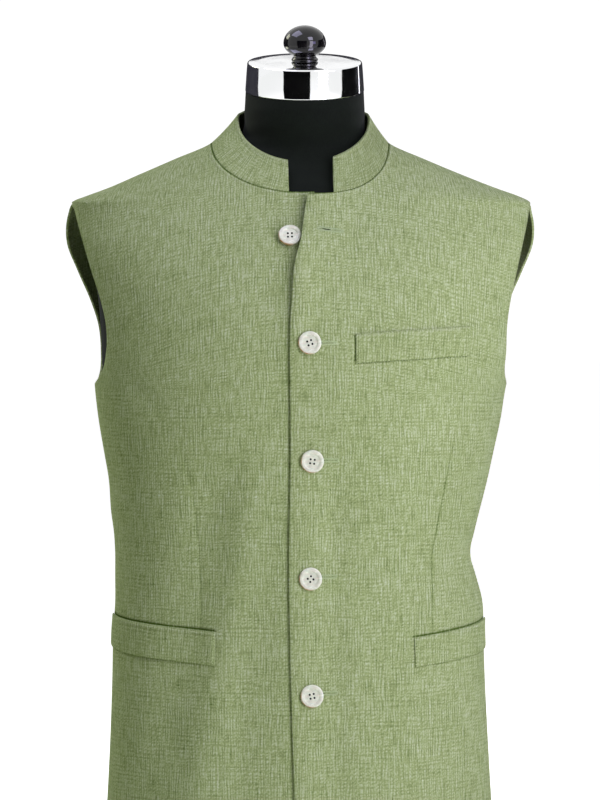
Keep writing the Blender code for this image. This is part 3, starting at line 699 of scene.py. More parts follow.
def patch(low, top, first, last):
    """Grid of angles and heights that fills four boundaries, by rows from low to top."""
    s = np.linspace(0, 1, len(low))[None, :, None]
    t = np.linspace(0, 1, len(first))[:, None, None]
    along = (1 - t) * low[None] + t * top[None]
    up = (1 - s) * first[:, None] + s * last[:, None]
    corners = (1 - s) * (1 - t) * low[0] + s * (1 - t) * low[-1] + (1 - s) * t * top[0] + s * t * top[-1]
    return along + up - corners


def front_grid(side):
    """Angles and heights of one front, from its edge to the side seam."""
    turned = -1.0 if side == "right" else 1.0
    collar_end = COLLAR_RIGHT_END[0] if side == "right" else COLLAR_LEFT_END[0]
    collar_turn = math.asin(collar_end / NECK_HALF_WIDTH)
    first, neck_turn = front_boundary(side)
    last = side_boundary(side, "front")
    hem_angle = np.linspace(first[0, 0], turned * np.pi / 2, 400)
    low = evenly(hem_angle, np.full(400, HEM_Z))(np.linspace(0, 1, FRONT_COLUMNS * FINE + 1))
    lap_share = np.linspace(0, 1, LAP_COLUMNS * FINE + 1)
    collar_share = np.linspace(0, 1, (FRONT_COLUMNS - LAP_COLUMNS) * FINE + 1)
    lap_top = evenly(*neck_path(neck_turn, collar_turn, side))(lap_share)
    carried = evenly(*neck_path(collar_turn, turned * np.pi / 2, side))(collar_share)
    return patch(low, np.concatenate((lap_top, carried[1:])), first, last)


def back_grid():
    """Angles and heights of the back, from the left side seam to the right one."""
    share = np.linspace(0, 1, BACK_COLUMNS * FINE + 1)
    low = evenly(np.linspace(np.pi / 2, 1.5 * np.pi, 800), np.full(800, HEM_Z))(share)
    top = evenly(*neck_path(np.pi / 2, 1.5 * np.pi))(share)
    return patch(low, top, side_boundary("left", "back"), side_boundary("right", "back"))


def pull_back(grid, distance, first=False, last=False, top=False):
    """Move the named edges of a grid of points towards its inside, to leave a seam's gap."""
    moved = grid.copy()
    for wanted, edge, inside in ((first, 0, 1), (last, -1, -2)):
        if wanted:
            moved[:, edge] += distance * unit(grid[:, inside] - grid[:, edge])
    if top:
        moved[-1] += distance * unit(grid[-2] - grid[-1])
    return moved


# Objects from points and faces


def link(made):
    bpy.context.scene.collection.objects.link(made)


def add_object(name, mesh, finish, matrix=None):
    """Link an object, give it its material, and let it ride on the body."""
    mesh.materials.append(finish)
    made = bpy.data.objects.new(name, mesh)
    if matrix:
        made.matrix_world = Matrix.Translation(SHIFT) @ matrix
    link(made)
    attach(made, "root")
    return made


def mesh_from(name, points, faces, maps=None, sharp=50, shift=SHIFT):
    """Mesh of a closed body, turned outwards and shaded smooth, with its UV maps in metres."""
    mesh = bpy.data.meshes.new(name)
    mesh.from_pydata((np.asarray(points) + np.array(shift)).tolist(), [], faces)
    corners = np.zeros(len(mesh.loops), dtype=np.int32)
    mesh.loops.foreach_get("vertex_index", corners)
    for map_name, values in (maps or {}).items():
        layer = mesh.uv_layers.new(name=map_name)
        layer.data.foreach_set("uv", np.asarray(values, dtype=np.float32)[corners].ravel())
    work = bmesh.new()
    work.from_mesh(mesh)
    bmesh.ops.recalc_face_normals(work, faces=work.faces)
    work.to_mesh(mesh)
    work.free()
    mesh.shade_smooth()
    mesh.set_sharp_from_angle(angle=math.radians(sharp))
    return mesh


def edge_lengths(points):
    """Distance of each grid point from the grid's top row, and from its nearer end column."""
    down = steps_along(points)[::-1].cumsum(axis=0)[::-1]
    down = np.concatenate((down, np.zeros((1, points.shape[1]))))
    first = np.concatenate((np.zeros((len(points), 1)), steps_along(points, 1).cumsum(axis=1)), axis=1)
    return np.stack((down, np.minimum(first, first[:, -1:] - first)), axis=-1)


def wall_mesh(name, outer, inner, **maps):
    """Mesh of a wall between two grids of points, closed along its four edges."""
    count_up, count_along = outer.shape[:2]
    points = np.concatenate((outer.reshape(-1, 3), inner.reshape(-1, 3)))
    behind = count_up * count_along
    index = np.arange(behind).reshape(count_up, count_along)
    cells = np.stack((index[:-1, :-1], index[:-1, 1:], index[1:, 1:], index[1:, :-1]), axis=-1)
    cells = cells.reshape(-1, 4)
    faces = cells.tolist() + (behind + cells[:, ::-1]).tolist()
    rim = np.concatenate((index[0], index[1:, -1], index[-1, -2::-1], index[-2:0:-1, 0]))
    after = np.roll(rim, -1)
    faces += np.stack((after, rim, behind + rim, behind + after), axis=-1).tolist()
    maps["edge"] = edge_lengths(outer)
    both = {key: np.tile(values.reshape(-1, 2), (2, 1)) for key, values in maps.items()}
    return mesh_from(name, points, faces, both)


def add_cloth(name, outer, inner, finish, rim, **maps):
    """Add a wall of cloth whose edges are rounded, in place of the solid of that name."""
    made = add_object("linen_" + name, wall_mesh("linen_" + name, outer, inner, **maps), finish)
    bevel = made.modifiers.new("rounded_edge", "BEVEL")
    bevel.width = rim
    bevel.segments = 3
    bevel.limit_method = "ANGLE"
    bevel.angle_limit = math.radians(55)
    bevel.harden_normals = False
    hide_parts(name)
    return made


def cloth_uv(angle, z, points, middle=0.0):
    """Weave coordinates in metres: girth across, and length up each column."""
    up = np.concatenate((np.zeros((1, points.shape[1])), np.cumsum(steps_along(points), axis=0)))
    return np.stack((girth(angle, z, middle), up), axis=-1)


def add_panel(name, grid, finish, **seams):
    """Add one body panel of the jacket as a fine wall of cloth."""
    angle = grid[..., 0]
    z = grid[..., 1]
    normal = body_normal(angle, z)
    outer = body_point(angle, z) + normal * fine_relief(name, angle, z)[..., None]
    inner = outer - normal * CLOTH
    maps = {"weave": cloth_uv(angle, z, outer, np.pi if name == "back" else 0.0)}
    if name != "back":
        maps["dart"] = line_map(dart_lines(angle, z))
        maps["welt"] = line_map(welt_lines(angle, z))
    outer = pull_back(outer, SEAM_GAP / 2, **seams)
    inner = pull_back(inner, SEAM_GAP / 2, **seams)
    return add_cloth(name, outer, inner, finish, PANEL_RIM, **maps)


def collar_base(grids):
    """Points and outward directions of the panels' top edges, where they carry the collar."""
    lines = []
    for name, grid in grids.items():
        angle, z = grid[-1].T
        points = np.concatenate((cloth_point(name, angle, z), body_normal(angle, z)), axis=-1)
        lines.append(points if name == "back" else points[LAP_COLUMNS * FINE:-1])
    back, right, left = lines
    line = np.concatenate((left, back, right[::-1]))
    return line[:, :3], line[:, 3:]


def collar_top():
    """Outer line of the collar's top edge."""
    start = math.asin((COLLAR_LEFT_END[1] - COLLAR_TOP_X) / COLLAR_TOP_HALF_WIDTH)
    end = 2 * math.pi + math.asin((COLLAR_RIGHT_END[1] - COLLAR_TOP_X) / COLLAR_TOP_HALF_WIDTH)
    turn = np.linspace(start, end, PATH_STEPS)
    cosine = np.cos(turn)
    share = smoothstep((cosine + NECK_TURN) / (2 * NECK_TURN))
    drop = COLLAR_TOP_RISE + (COLLAR_TOP_DROP - COLLAR_TOP_RISE) * share
    depth = np.where(cosine > 0, COLLAR_TOP_FRONT, COLLAR_TOP_BACK)
    x = COLLAR_TOP_X + COLLAR_TOP_HALF_WIDTH * np.sin(turn)
    return np.stack((x, -depth * cosine, COLLAR_TOP_SIDE_Z - drop * cosine), axis=-1)


def add_collar(grids, finish):
    """Add the stand collar, a band that rises from the neckline and leans in."""
    base, base_normal = collar_base(grids)
    top_line = collar_top()
    share = length_shares(base)
    top_share = length_shares(top_line)
    top = np.stack([np.interp(share, top_share, top_line[:, axis]) for axis in range(3)], axis=-1)
    rise = top - base
    height = np.linalg.norm(rise, axis=-1, keepdims=True)
    normal = unit(np.cross(np.gradient(base, axis=0), rise))
    outer = []
    inner = []
    for up in np.linspace(0, 1, COLLAR_ROWS * FINE * 2 + 1):
        from_seam = up + (1 - up) * SEAM_GAP / height
        outer.append(base + rise * from_seam - normal * COLLAR_BOW * 4 * up * (1 - up))
        own = min(1.0, up * 4)
        direction = normal * own + base_normal * (1 - own)
        inner.append(outer[-1] - unit(direction) * COLLAR_WALL)
    outer = np.array(outer)
    across = share[None, :] * steps_along(base).sum() + 0 * outer[..., 0]
    up_length = np.linspace(0, 1, len(outer))[:, None] * height[:, 0][None, :]
    weave = np.stack((across, up_length), axis=-1)
    return add_cloth("collar", outer, np.array(inner), finish, COLLAR_RIM, weave=weave)


def welt_face(welt, across, up):
    """Angle, height, plain point and outward direction under a welt, and how far the front lifts it."""
    angle, low, top = welt_place(welt, across + 0 * up)
    z = low + (top - low) * up
    middle_z = (low + top) / 2
    carrier = "front_left" if welt["inner"] > 0 else "front_right"
    lift = fine_relief(carrier, angle, middle_z) - darts(angle, middle_z)
    return angle, z, body_point(angle, z), body_normal(angle, z), lift


def add_welt(welt, finish):
    """Add a pocket's welt, folded at its top and sewn down at its lower edge and ends."""
    across = np.linspace(0, 1, WELT_CELLS[0] + 1)[None, :]
    up = np.linspace(0, 1, WELT_CELLS[1] + 1)[:, None]
    angle, z, plain, normal, lift = welt_face(welt, across, up)
    near_end = np.minimum(across, 1 - across) * abs(welt["outer"] - welt["inner"]) / WELT_END
    sewn = smoothstep(np.minimum(near_end, up / WELT_LOW))
    outer = plain + normal * (lift + LAY_GAP + WELT_WALL * (WELT_SEWN + (1 - WELT_SEWN) * sewn))[..., None]
    inner = plain + normal * (lift + LAY_GAP)[..., None]
    weave = np.stack((girth(angle, z), z), axis=-1)
    return add_cloth(welt["name"], outer, inner, finish, WELT_RIM, weave=weave)


def ring_faces(rings, sides, base=0):
    """Faces of a body whose points lie ring by ring, closed at both ends."""
    index = base + np.arange(rings * sides).reshape(rings, sides)
    after = np.roll(index, -1, axis=1)
    faces = np.stack((index[:-1], after[:-1], after[1:], index[1:]), axis=-1).reshape(-1, 4).tolist()
    return faces + [index[0][::-1].tolist(), index[-1].tolist()]


def lathe(profile, sides):
    """Points and faces of a body turned round Z, closed at both ends on its axis."""
    turns = np.linspace(0, 2 * np.pi, sides, endpoint=False)
    rings = [(r * math.cos(t), r * math.sin(t), z) for r, z in profile for t in turns]
    return np.array(rings), ring_faces(len(profile), sides)


def arc(centre, radius, start, end, steps):
    """Points of a turned profile's arc, with angles in degrees."""
    turns = np.radians(np.linspace(start, end, steps + 1))
    return [(centre[0] + radius * math.cos(t), centre[1] + radius * math.sin(t)) for t in turns]


def local_mesh(name, points, faces, sharp=40):
    """Mesh in its object's own coordinates."""
    return mesh_from(name, points, faces, sharp=sharp, shift=Vector())


def front_spot(piece, x, z, out=0.0):
    """Point and outward direction of a front's fine face, by place from the middle and height."""
    x = np.atleast_1d(np.asarray(x, dtype=float))
    z = np.atleast_1d(np.asarray(z, dtype=float)) + 0 * x
    angle = angle_at(x, z)
    return cloth_point(piece, angle, z, out), body_normal(angle, z)


def seated(point, out):
    """Frame that lies on the cloth: X runs level to the wearer's left, and Z points out."""
    out = Vector(out)
    across = Vector((0, 0, 1)).cross(out).normalized()
    turned = Matrix((across, out.cross(across), out)).transposed().to_4x4()
    return Matrix.Translation(Vector(point)) @ turned


def button_mesh(name, turn):
    """Mesh of a four-hole button with a raised rim and a dished middle, its back at z = 0."""
    floor_z = BUTTON_HEIGHT - BUTTON_DISH_DEPTH
    rim = (BUTTON_RADIUS + BUTTON_DISH_RADIUS) / 2
    half = (BUTTON_RADIUS - BUTTON_DISH_RADIUS) / 2
    profile = [(0.004, 0.0), (BUTTON_RADIUS - BUTTON_ROUNDING - 0.0001, 0.0)]
    profile += arc((BUTTON_RADIUS - BUTTON_ROUNDING, BUTTON_ROUNDING), BUTTON_ROUNDING, -70, 0, 4)
    for share in np.linspace(0, 1, 11):
        radius = rim + half * 0.97 * math.cos(math.pi * share)
        profile.append((radius, floor_z + BUTTON_DISH_DEPTH * max(math.sin(math.pi * share), 0.0) ** 0.7))
    profile += [(0.0068, floor_z - 0.0001), (0.0050, floor_z - 0.0002), (0.0035, floor_z - 0.0002)]
    body = bpy.data.objects.new("lathe", local_mesh(name, *lathe(profile, BUTTON_SIDES)))
    bore = BUTTON_HOLE_RADIUS * 1.1
    points, faces = lathe([(bore, -0.001), (bore, 0.006)], DRILL_SIDES)
    spots = [Vector((sx, sy, 0)) * BUTTON_HOLE_OFFSET for sx in (1, -1) for sy in (1, -1)]
    spin = Matrix.Rotation(math.radians(turn), 3, "Z")
    all_points = np.concatenate([points + np.array(spin @ spot) for spot in spots])
    all_faces = []
    for count in range(len(spots)):
        all_faces += [[len(points) * count + corner for corner in face] for face in faces]
    drill = bpy.data.objects.new("drill", local_mesh("drill", all_points, all_faces))
    for item in (body, drill):
        link(item)
    cut = body.modifiers.new("holes", "BOOLEAN")
    cut.object = drill
    cut.solver = "EXACT"
    bpy.context.view_layer.update()
    mesh = bpy.data.meshes.new_from_object(body.evaluated_get(bpy.context.evaluated_depsgraph_get()))
    for item in (body, drill):
        bpy.data.objects.remove(item)
    mesh.shade_smooth()
    mesh.set_sharp_from_angle(angle=math.radians(38))
    return mesh


def add_buttons(finishes):
    """Add the five buttons with the thread shanks that hold them to the cloth; the shanks and the holes'
    walls are coloured with painted shade.
    """
    for row in BUTTONS:
        point, out = front_spot("front_" + row["front"], row["x"] * MM, row["z"] * MM, BUTTON_SEAT)
        frame = seated(point[0], out[0])
        name = "pearl_" + row["name"]
        made = add_object(name, button_mesh(name, row["turn"]), finishes["pearl"], frame)
        # The holes' walls get painted shade in place of the shell's own colour
        made.data.materials.append(finishes["shadow"])
        for face in made.data.polygons:
            if abs(face.normal.z) < 0.3 and face.center.xy.length < 2 * BUTTON_HOLE_OFFSET:
                face.material_index = 1
        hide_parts(row["name"])
        # The thread shank under the button is coloured with painted shade
        name = "shank_" + row["name"]
        shank = local_mesh(name, *lathe([(0.0036, -0.0006), (0.0034, -0.0003), (0.0038, -0.00005)], 20))
        add_object(name, shank, finishes["shadow"], frame)


THREAD_STEPS = 6
THREAD_SIDES = 6


def threads(name, starts, ends, ups, radius, arch, finish):
    """Add one piece of many short stitches, each from a start to an end and arched outwards."""
    share = np.linspace(0, 1, THREAD_STEPS)
    line = starts[:, None] + (ends - starts)[:, None] * share[None, :, None]
    line = line + ups[:, None] * (arch * np.sin(np.pi * share))[None, :, None]
    side = np.cross(unit(ends - starts), ups)
    turns = np.linspace(0, 2 * np.pi, THREAD_SIDES, endpoint=False)
    thick = radius * np.sqrt(np.clip(1 - (2 * np.abs(share - 0.5)) ** 6 * 0.85, 0, 1))
    ring = side[:, None, None] * np.cos(turns)[None, None, :, None]
    ring = ring + ups[:, None, None] * np.sin(turns)[None, None, :, None]
    points = line[:, :, None] + ring * thick[None, :, None, None]
    faces = []
    for one in range(len(starts)):
        faces += ring_faces(THREAD_STEPS, THREAD_SIDES, one * THREAD_STEPS * THREAD_SIDES)
    mesh = mesh_from(name, points.reshape(-1, 3), faces, sharp=70)
    add_object(name, mesh, finish)


# Worked buttonholes: pitch and reach of their stitches, and the slit where it gapes, filled with a dark
# sheet of painted shade
HOLE_PITCH = 0.00052
HOLE_SLIT = 0.00035
HOLE_REACH = 0.0023
HOLE_UNEVEN = 0.00018
HOLE_THREAD = 0.00027
HOLE_ARCH = 0.00022
HOLE_START_OUT = 0.00012
HOLE_END_OUT = 0.00008
SLIT_START = 0.003
SLIT_END = 0.011
SLIT_OPEN = 0.0005
SLIT_STEPS = 30
SLIT_FACES_OUT = (0.0003, 0.0001)


def add_buttonholes(finishes):
    """Add the worked buttonholes on the lapping front: two rows of stitches round a slit, a dark sheet of
    painted shade.
    """
    for row in BUTTONS:
        number = row["name"][-1]
        x1, x2, z = [row[column] * MM for column in ("hole_x1", "hole_x2", "hole_z")]
        places = []
        for step in range(int((x2 - x1) / HOLE_PITCH)):
            x = x1 + (step + 0.5) * HOLE_PITCH
            uneven = HOLE_UNEVEN * math.sin(5.1 * step + row["turn"])
            for side in (1, -1):
                places.append((x, z + side * HOLE_SLIT, x + uneven, z + side * (HOLE_REACH + uneven)))
        for step in range(-3, 4):
            lean = math.radians(26 * step)
            for side, end in ((1, x2), (-1, x1)):
                away = np.array((side * math.cos(lean), math.sin(lean)))
                places.append((*(away * HOLE_SLIT + (end, z)), *(away * HOLE_REACH + (end, z))))
        places = np.array(places)
        starts, ups = front_spot("front_left", places[:, 0], places[:, 1], HOLE_START_OUT)
        ends = front_spot("front_left", places[:, 2], places[:, 3], HOLE_END_OUT)[0]
        threads("buttonhole_" + number, starts, ends, ups, HOLE_THREAD, HOLE_ARCH, finishes["thread"])
        x = np.linspace(x1 + SLIT_START, x1 + SLIT_END, SLIT_STEPS)
        gape = SLIT_OPEN * np.sin(np.pi * np.linspace(0.04, 0.96, SLIT_STEPS)) ** 0.6
        outer, inner = [
            np.stack([front_spot("front_left", x, z + side * gape, out)[0] for side in (-1, 1)])
            for out in SLIT_FACES_OUT
        ]
        name = "slit_" + number
        add_object(name, wall_mesh(name, outer, inner), finishes["shadow"])


# Rows of stitches on the welts: welt, ends of the row as shares across and up, pitch and length
STITCHES = table(
    "name across1 up1 across2 up2 pitch length",
    ("chest_welt", 0.0, -0.02, 1.0, -0.02, 3.1, 1.9),
    ("chest_welt", 0.016, 0.04, 0.016, 0.96, 2.6, 1.5),
    ("chest_welt", 0.984, 0.04, 0.984, 0.96, 2.6, 1.5),
    ("pocket_welt_right", 0.012, 0.03, 0.012, 0.97, 2.6, 1.5),
    ("pocket_welt_right", 0.988, 0.03, 0.988, 0.97, 2.6, 1.5),
    ("pocket_welt_left", 0.012, 0.03, 0.012, 0.97, 2.6, 1.5),
    ("pocket_welt_left", 0.988, 0.03, 0.988, 0.97, 2.6, 1.5),
)
STITCH_THREAD = 0.00022
STITCH_ARCH = 0.00018

# How far out the stitches lie: on a welt as a share of its thickness, and beside it in metres
STITCH_ON_WELT = WELT_SEWN + 0.04
STITCH_OUT = 0.0001


def add_welt_stitches(finishes):
    """Add the stitches along the welts' ends and the chest welt's seam."""
    for number, row in enumerate(STITCHES):

        def spot(share, out):
            across = row["across1"] + (row["across2"] - row["across1"]) * share
            up = row["up1"] + (row["up2"] - row["up1"]) * share
            plain, normal, lift = welt_face(WELT[row["name"]], across, up)[2:]
            return plain + normal * (lift + out)[..., None], normal

        on_welt = row["up1"] > 0
        out = LAY_GAP + WELT_WALL * STITCH_ON_WELT if on_welt else STITCH_OUT
        length = steps_along(spot(np.linspace(0, 1, 60), out)[0]).sum()
        count = int(length / (row["pitch"] * MM))
        first = (np.arange(count) + 0.2) / count
        last = first + row["length"] / row["pitch"] / count
        starts, ups = spot(first, out)
        ends = spot(last, out)[0]
        name = "stitches_" + row["name"] + "_" + str(number + 1)
        threads(name, starts, ends, ups, STITCH_THREAD, STITCH_ARCH, finishes["thread"])


def add_form(finish):
    """Add the dress form's torso and neck, with a flat closed bottom and a leaning top."""
    columns = smooth_columns(FORM_RINGS)
    knots = np.array([row["z"] for row in FORM_RINGS]) * MM
    heights = [knots[:1]]
    for low, high in zip(knots, knots[1:]):
        heights.append(np.linspace(low, high, FORM_STEPS + 1)[1:])
    heights = np.concatenate(heights)[:, None]
    turns = np.linspace(0, 2 * np.pi, FORM_COLUMNS, endpoint=False)[None, :]
    depth = np.where(np.cos(turns) >= 0, columns["front"](heights), columns["back"](heights))
    radius = superellipse(turns, columns["half_width"](heights), depth, columns["power"](heights))
    x = radius * np.sin(turns) + columns["lean"](heights)
    rings = np.stack((x, -radius * np.cos(turns), heights + 0 * x), axis=-1)
    disc = np.stack((np.sin(turns), -np.cos(turns), 0 * turns), axis=-1)[0] * NECK_TOP_RADIUS
    top = disc @ np.array(Matrix.Rotation(CAP_LEAN, 3, "X")).T + np.array(NECK_TOP)
    carried = [rings[-1] + (top - rings[-1]) * share for share in (0.25, 0.5, 0.75, 1.0)]
    points = np.concatenate((rings.reshape(-1, 3), np.concatenate(carried)))
    faces = ring_faces(len(points) // FORM_COLUMNS, FORM_COLUMNS)
    made = add_object("jersey_form", mesh_from("jersey_form", points, faces), finish)
    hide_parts("form_torso")


def add_neck_fittings(finishes):
    """Add the cap on the neck and the knob on the cap, on one leaning axis."""
    lean = Matrix.Translation(NECK_TOP) @ Matrix.Rotation(CAP_LEAN, 4, "X")
    low = CAP_LOW_ROUNDING
    top = CAP_TOP_ROUNDING
    profile = [(0.050, 0.0)] + arc((CAP_LOW_RADIUS - low, low), low, -90, 0, 6)
    profile += [(CAP_LOW_RADIUS - 0.0006, 0.010), (CAP_LOW_RADIUS - 0.0013, 0.020)]
    profile += arc((CAP_TOP_RADIUS - top, CAP_HEIGHT - top), top, 5, 90, 8)
    profile += [(0.045, CAP_HEIGHT), (0.016, CAP_HEIGHT)]
    mesh = local_mesh("chrome_cap", *lathe(profile, CAP_SIDES), 60)
    cap = add_object("chrome_cap", mesh, finishes["chrome"],
                     lean @ Matrix.Translation((0, 0, SEAT_GAP)))
    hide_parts("neck_cap")
    foot = [(0.0080, 0.0), (0.0123, 0.0), (0.0131, 0.0006), (0.0132, 0.0014), (0.0129, 0.0024),
            (0.0122, 0.0032), (0.0114, 0.0040), (0.0112, 0.0048), (0.0115, 0.0058)]
    ball = []
    for turn in np.radians(np.linspace(-52, 87, 34)):
        drop = KNOB_FALL if turn < 0 else KNOB_HEIGHT - KNOB_MIDDLE
        ball.append((KNOB_RADIUS * math.cos(turn), KNOB_MIDDLE + drop * math.sin(turn)))
    mesh = local_mesh("gloss_knob", *lathe(foot + ball, KNOB_SIDES), 60)
    knob = add_object("gloss_knob", mesh, finishes["gloss"],
                      lean @ Matrix.Translation((0, 0, CAP_HEIGHT + 2 * SEAT_GAP)))
    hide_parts("cap_knob")


# Materials


class Nodes:
    """Short calls for building the node tree of one material or world."""

    def __init__(self, owner, shader="Principled BSDF"):
        owner.use_nodes = True
        self.owner = owner
        self.tree = owner.node_tree
        self.shader = self.tree.nodes[shader]

    def put(self, socket, value):
        """Link an output to a socket, or set the socket to a constant."""
        if isinstance(value, bpy.types.NodeSocket):
            self.tree.links.new(value, socket)
        else:
            socket.default_value = value

    def add(self, kind, out=0, fields=None, **inputs):
        """Add a node, fill its inputs by name or by number (i0, i1...), and return one output."""
        made = self.tree.nodes.new(kind)
        for key, value in (fields or {}).items():
            setattr(made, key, value)
        for key, value in inputs.items():
            place = int(key[1:]) if key[0] == "i" and key[1:].isdigit() else key.replace("_", " ")
            self.put(made.inputs[place], value)
        return made.outputs[out]

    def math(self, operation, first, second=0.0, third=0.0):
        return self.add("ShaderNodeMath", fields={"operation": operation}, i0=first, i1=second, i2=third)

    def own(self):
        """The object's own coordinates."""
        return self.add("ShaderNodeTexCoord", 3)

    def noise(self, scales, detail=1.0, roughness=0.5, at=None, offset=(0.0, 0.0, 0.0)):
        """Noise with a scale along each axis, over the object's own coordinates or others."""
        moved = self.add("ShaderNodeMapping", Vector=at or self.own(), Scale=scales, Location=offset)
        return self.add("ShaderNodeTexNoise", Vector=moved, Scale=1.0, Detail=detail, Roughness=roughness)

    def mix(self, share, first, second, blend="MIX"):
        """Two colours mixed by a share."""
        return self.add("ShaderNodeMix", 2, {"data_type": "RGBA", "blend_type": blend},
                        i0=share, i6=first, i7=second)

    def bump(self, strength, distance, height, **inputs):
        return self.add("ShaderNodeBump", Strength=strength, Distance=distance, Height=height, **inputs)

    def ramp(self, value, stops):
        """Colour ramp of (place, colour) stops."""
        made = self.tree.nodes.new("ShaderNodeValToRGB")
        while len(made.color_ramp.elements) < len(stops):
            made.color_ramp.elements.new(0.5)
        for element, (place, colour) in zip(made.color_ramp.elements, stops):
            element.position = place
            element.color = (*colour, 1.0)
        self.tree.links.new(value, made.inputs[0])
        return made.outputs[0]

    def spread(self, value, low, high, to_low=0.0, to_high=1.0):
        """Value mapped from one range to another, held at its ends."""
        return self.add("ShaderNodeMapRange", i0=value, i1=low, i2=high, i3=to_low, i4=to_high)

    def parts(self, vector):
        """First two parts of a vector."""
        made = self.tree.nodes.new("ShaderNodeSeparateXYZ")
        self.put(made.inputs[0], vector)
        return made.outputs[0], made.outputs[1]

    def mixed(self, start, terms):
        """Sum of a start value and of (value, factor) terms."""
        for value, factor in terms:
            start = self.math("MULTIPLY_ADD", value, factor, start)
        return start

    def set(self, **inputs):
        for key, value in inputs.items():
            self.put(self.shader.inputs[key.replace("_", " ")], value)


def linear(*colour):
    """Scene colour of an sRGB colour in bytes."""
    shares = [byte / 255 for byte in colour]
    return tuple(s / 12.92 if s <= 0.04045 else ((s + 0.055) / 1.055) ** 2.4 for s in shares)


LINEN_DARK = linear(78, 101, 38)
LINEN_MIDDLE = linear(153, 168, 110)
LINEN_LIGHT = linear(203, 213, 178)


# Weave: distance between yarns both ways, and how far they wander
WARP_PITCH = 0.00268
WEFT_PITCH = 0.00395
YARN_WANDER = 13.0

# Noises of the linen: cells in a metre both ways, where they start, their detail, and how much
# they change the cloth's tone and its relief
LINEN_NOISES = table(
    "name across up start_x start_y detail tone relief",
    ("warp_drift", 150, 34, 0, 0, 1, 0, 0),
    ("weft_drift", 30, 120, 7, 3, 1, 0, 0),
    ("warp_streak", 560, 60, 4, 9, 1, 0.58, 0.6),
    ("weft_streak", 70, 500, 3.1, 7.7, 1, 0.26, 0.5),
    ("warp_slub", 420, 30, 9, 2, 0, 0, 0),
    ("weft_slub", 28, 380, 1, 5, 0, 0, 0),
    ("speck", 640, 600, 0, 0, 1, 0.58, 0.5),
    ("share", 44, 34, 2, 8, 1, 0, 0),
    ("blotch", 26, 17, 0, 0, 2, 0.12, 0),
)

# Lines on the linen: how wide their painted shade is and how deep they go, the band of painted shade under
# the top seam, and the ridge under that seam, whose lighter tone is a painted highlight
LINE_INNER = 0.0004
LINE_OUTER = 0.0012
GROOVE_REACH = 0.0022
LINE_SHADE = -0.26
SEAM_INNER = 0.0006
SEAM_OUTER = 0.0018
SEAM_SHADE = -0.45
RIDGE_MIDDLE = 0.0024
RIDGE_REACH = 0.0055
END_ROUNDING = 0.0030


def linen(name, shade=0.0, turn=0.0, seam=0.0):
    """Slub linen: uneven yarns both ways, slubs, a woven relief, seams' lines of painted shade, and
    pressed ridges with a painted highlight.
    """
    n = Nodes(bpy.data.materials.new(name))
    flat = n.add("ShaderNodeUVMap", fields={"uv_map": "weave"})
    uv = n.add("ShaderNodeVectorRotate", fields={"rotation_type": "Z_AXIS"}, Vector=flat, Angle=turn)
    across, up = n.parts(uv)
    noise = {}
    for row in LINEN_NOISES:
        noise[row["name"]] = n.noise((row["across"], row["up"], 1), row["detail"], at=uv,
                                     offset=(row["start_x"], row["start_y"], 0))
    phases = []
    for kind, along, pitch in (("warp", across, WARP_PITCH), ("weft", up, WEFT_PITCH)):
        wander = n.math("MULTIPLY", noise[kind + "_drift"], YARN_WANDER)
        phases.append(n.math("MULTIPLY_ADD", along, 2 * math.pi / pitch, wander))
    warp, weft = [n.math("SINE", phase) for phase in phases]
    ripple = n.math("SINE", n.math("MULTIPLY_ADD", phases[0], -0.47, phases[1]))
    share = n.spread(noise["share"], 0.36, 0.64)
    slubs = [n.spread(noise[kind + "_slub"], 0.60, 0.82) for kind in ("warp", "weft")]
    from_top, from_end = n.parts(n.add("ShaderNodeUVMap", fields={"uv_map": "edge"}))
    ridge = n.math("MULTIPLY", n.spread(from_top, SEAM_INNER, RIDGE_MIDDLE),
                   n.spread(from_top, RIDGE_MIDDLE, RIDGE_REACH, 1.0, 0.0))
    toned = [row for row in LINEN_NOISES if row["tone"]]
    tone = [(n.math("SUBTRACT", noise[row["name"]], 0.5), row["tone"]) for row in toned]
    tone += [
        (n.math("MULTIPLY", warp, n.spread(share, 0.0, 1.0, 0.35, 1.0)), 0.115),
        (n.math("MULTIPLY", weft, n.spread(share, 0.0, 1.0, 1.0, 0.3)), 0.056),
        (n.math("MULTIPLY", ripple, n.spread(share, 0.0, 1.0, 1.0, 0.2)), 0.055),
        (n.math("MULTIPLY", warp, weft), 0.045),
        (slubs[0], -0.08),
        (slubs[1], -0.09),
        # Painted highlight: the ridge under each piece's top edge is made lighter, as if it caught the
        # light
        (ridge, 0.08),
        # Painted shade in the band just under the top seam
        (n.spread(from_top, SEAM_INNER, SEAM_OUTER, 1.0, 0.0), SEAM_SHADE * seam),
    ]
    pressed = [(ridge, 1.0), (n.spread(from_end, 0.0, END_ROUNDING), 0.6)]
    # Painted shade along the darts' and welts' lines, and a pressed groove there
    for map_name in ("dart", "welt"):
        away, dark = n.parts(n.add("ShaderNodeUVMap", fields={"uv_map": map_name}))
        away = n.math("ABSOLUTE", n.math("SUBTRACT", away, 1.0))
        thin = n.spread(away, LINE_INNER, LINE_OUTER, 1.0, 0.0)
        tone.append((n.math("MULTIPLY", thin, dark), LINE_SHADE))
        pressed.append((n.math("MULTIPLY", n.spread(away, 0.0, GROOVE_REACH, 1.0, 0.0), dark), -0.6))
    tone = n.mixed(0.5 + shade, tone)
    colour = n.ramp(tone, ((0.0, LINEN_DARK), (0.5, LINEN_MIDDLE), (1.0, LINEN_LIGHT)))
    relief = [(noise[row["name"]], row["relief"]) for row in LINEN_NOISES if row["relief"]]
    relief += [(warp, 0.16), (weft, 0.12), (ripple, 0.10), (slubs[0], 0.35), (slubs[1], 0.35)]
    woven = n.bump(0.5, 0.0006, n.mixed(0.0, relief))
    n.set(Base_Color=colour, Normal=n.bump(0.9, 0.0009, n.mixed(0.0, pressed), Normal=woven))
    n.set(Roughness=0.94, Specular_IOR_Level=0.05)
    n.set(Sheen_Weight=0.02, Sheen_Roughness=0.5, Sheen_Tint=(0.95, 0.97, 0.92, 1.0))
    return n.owner


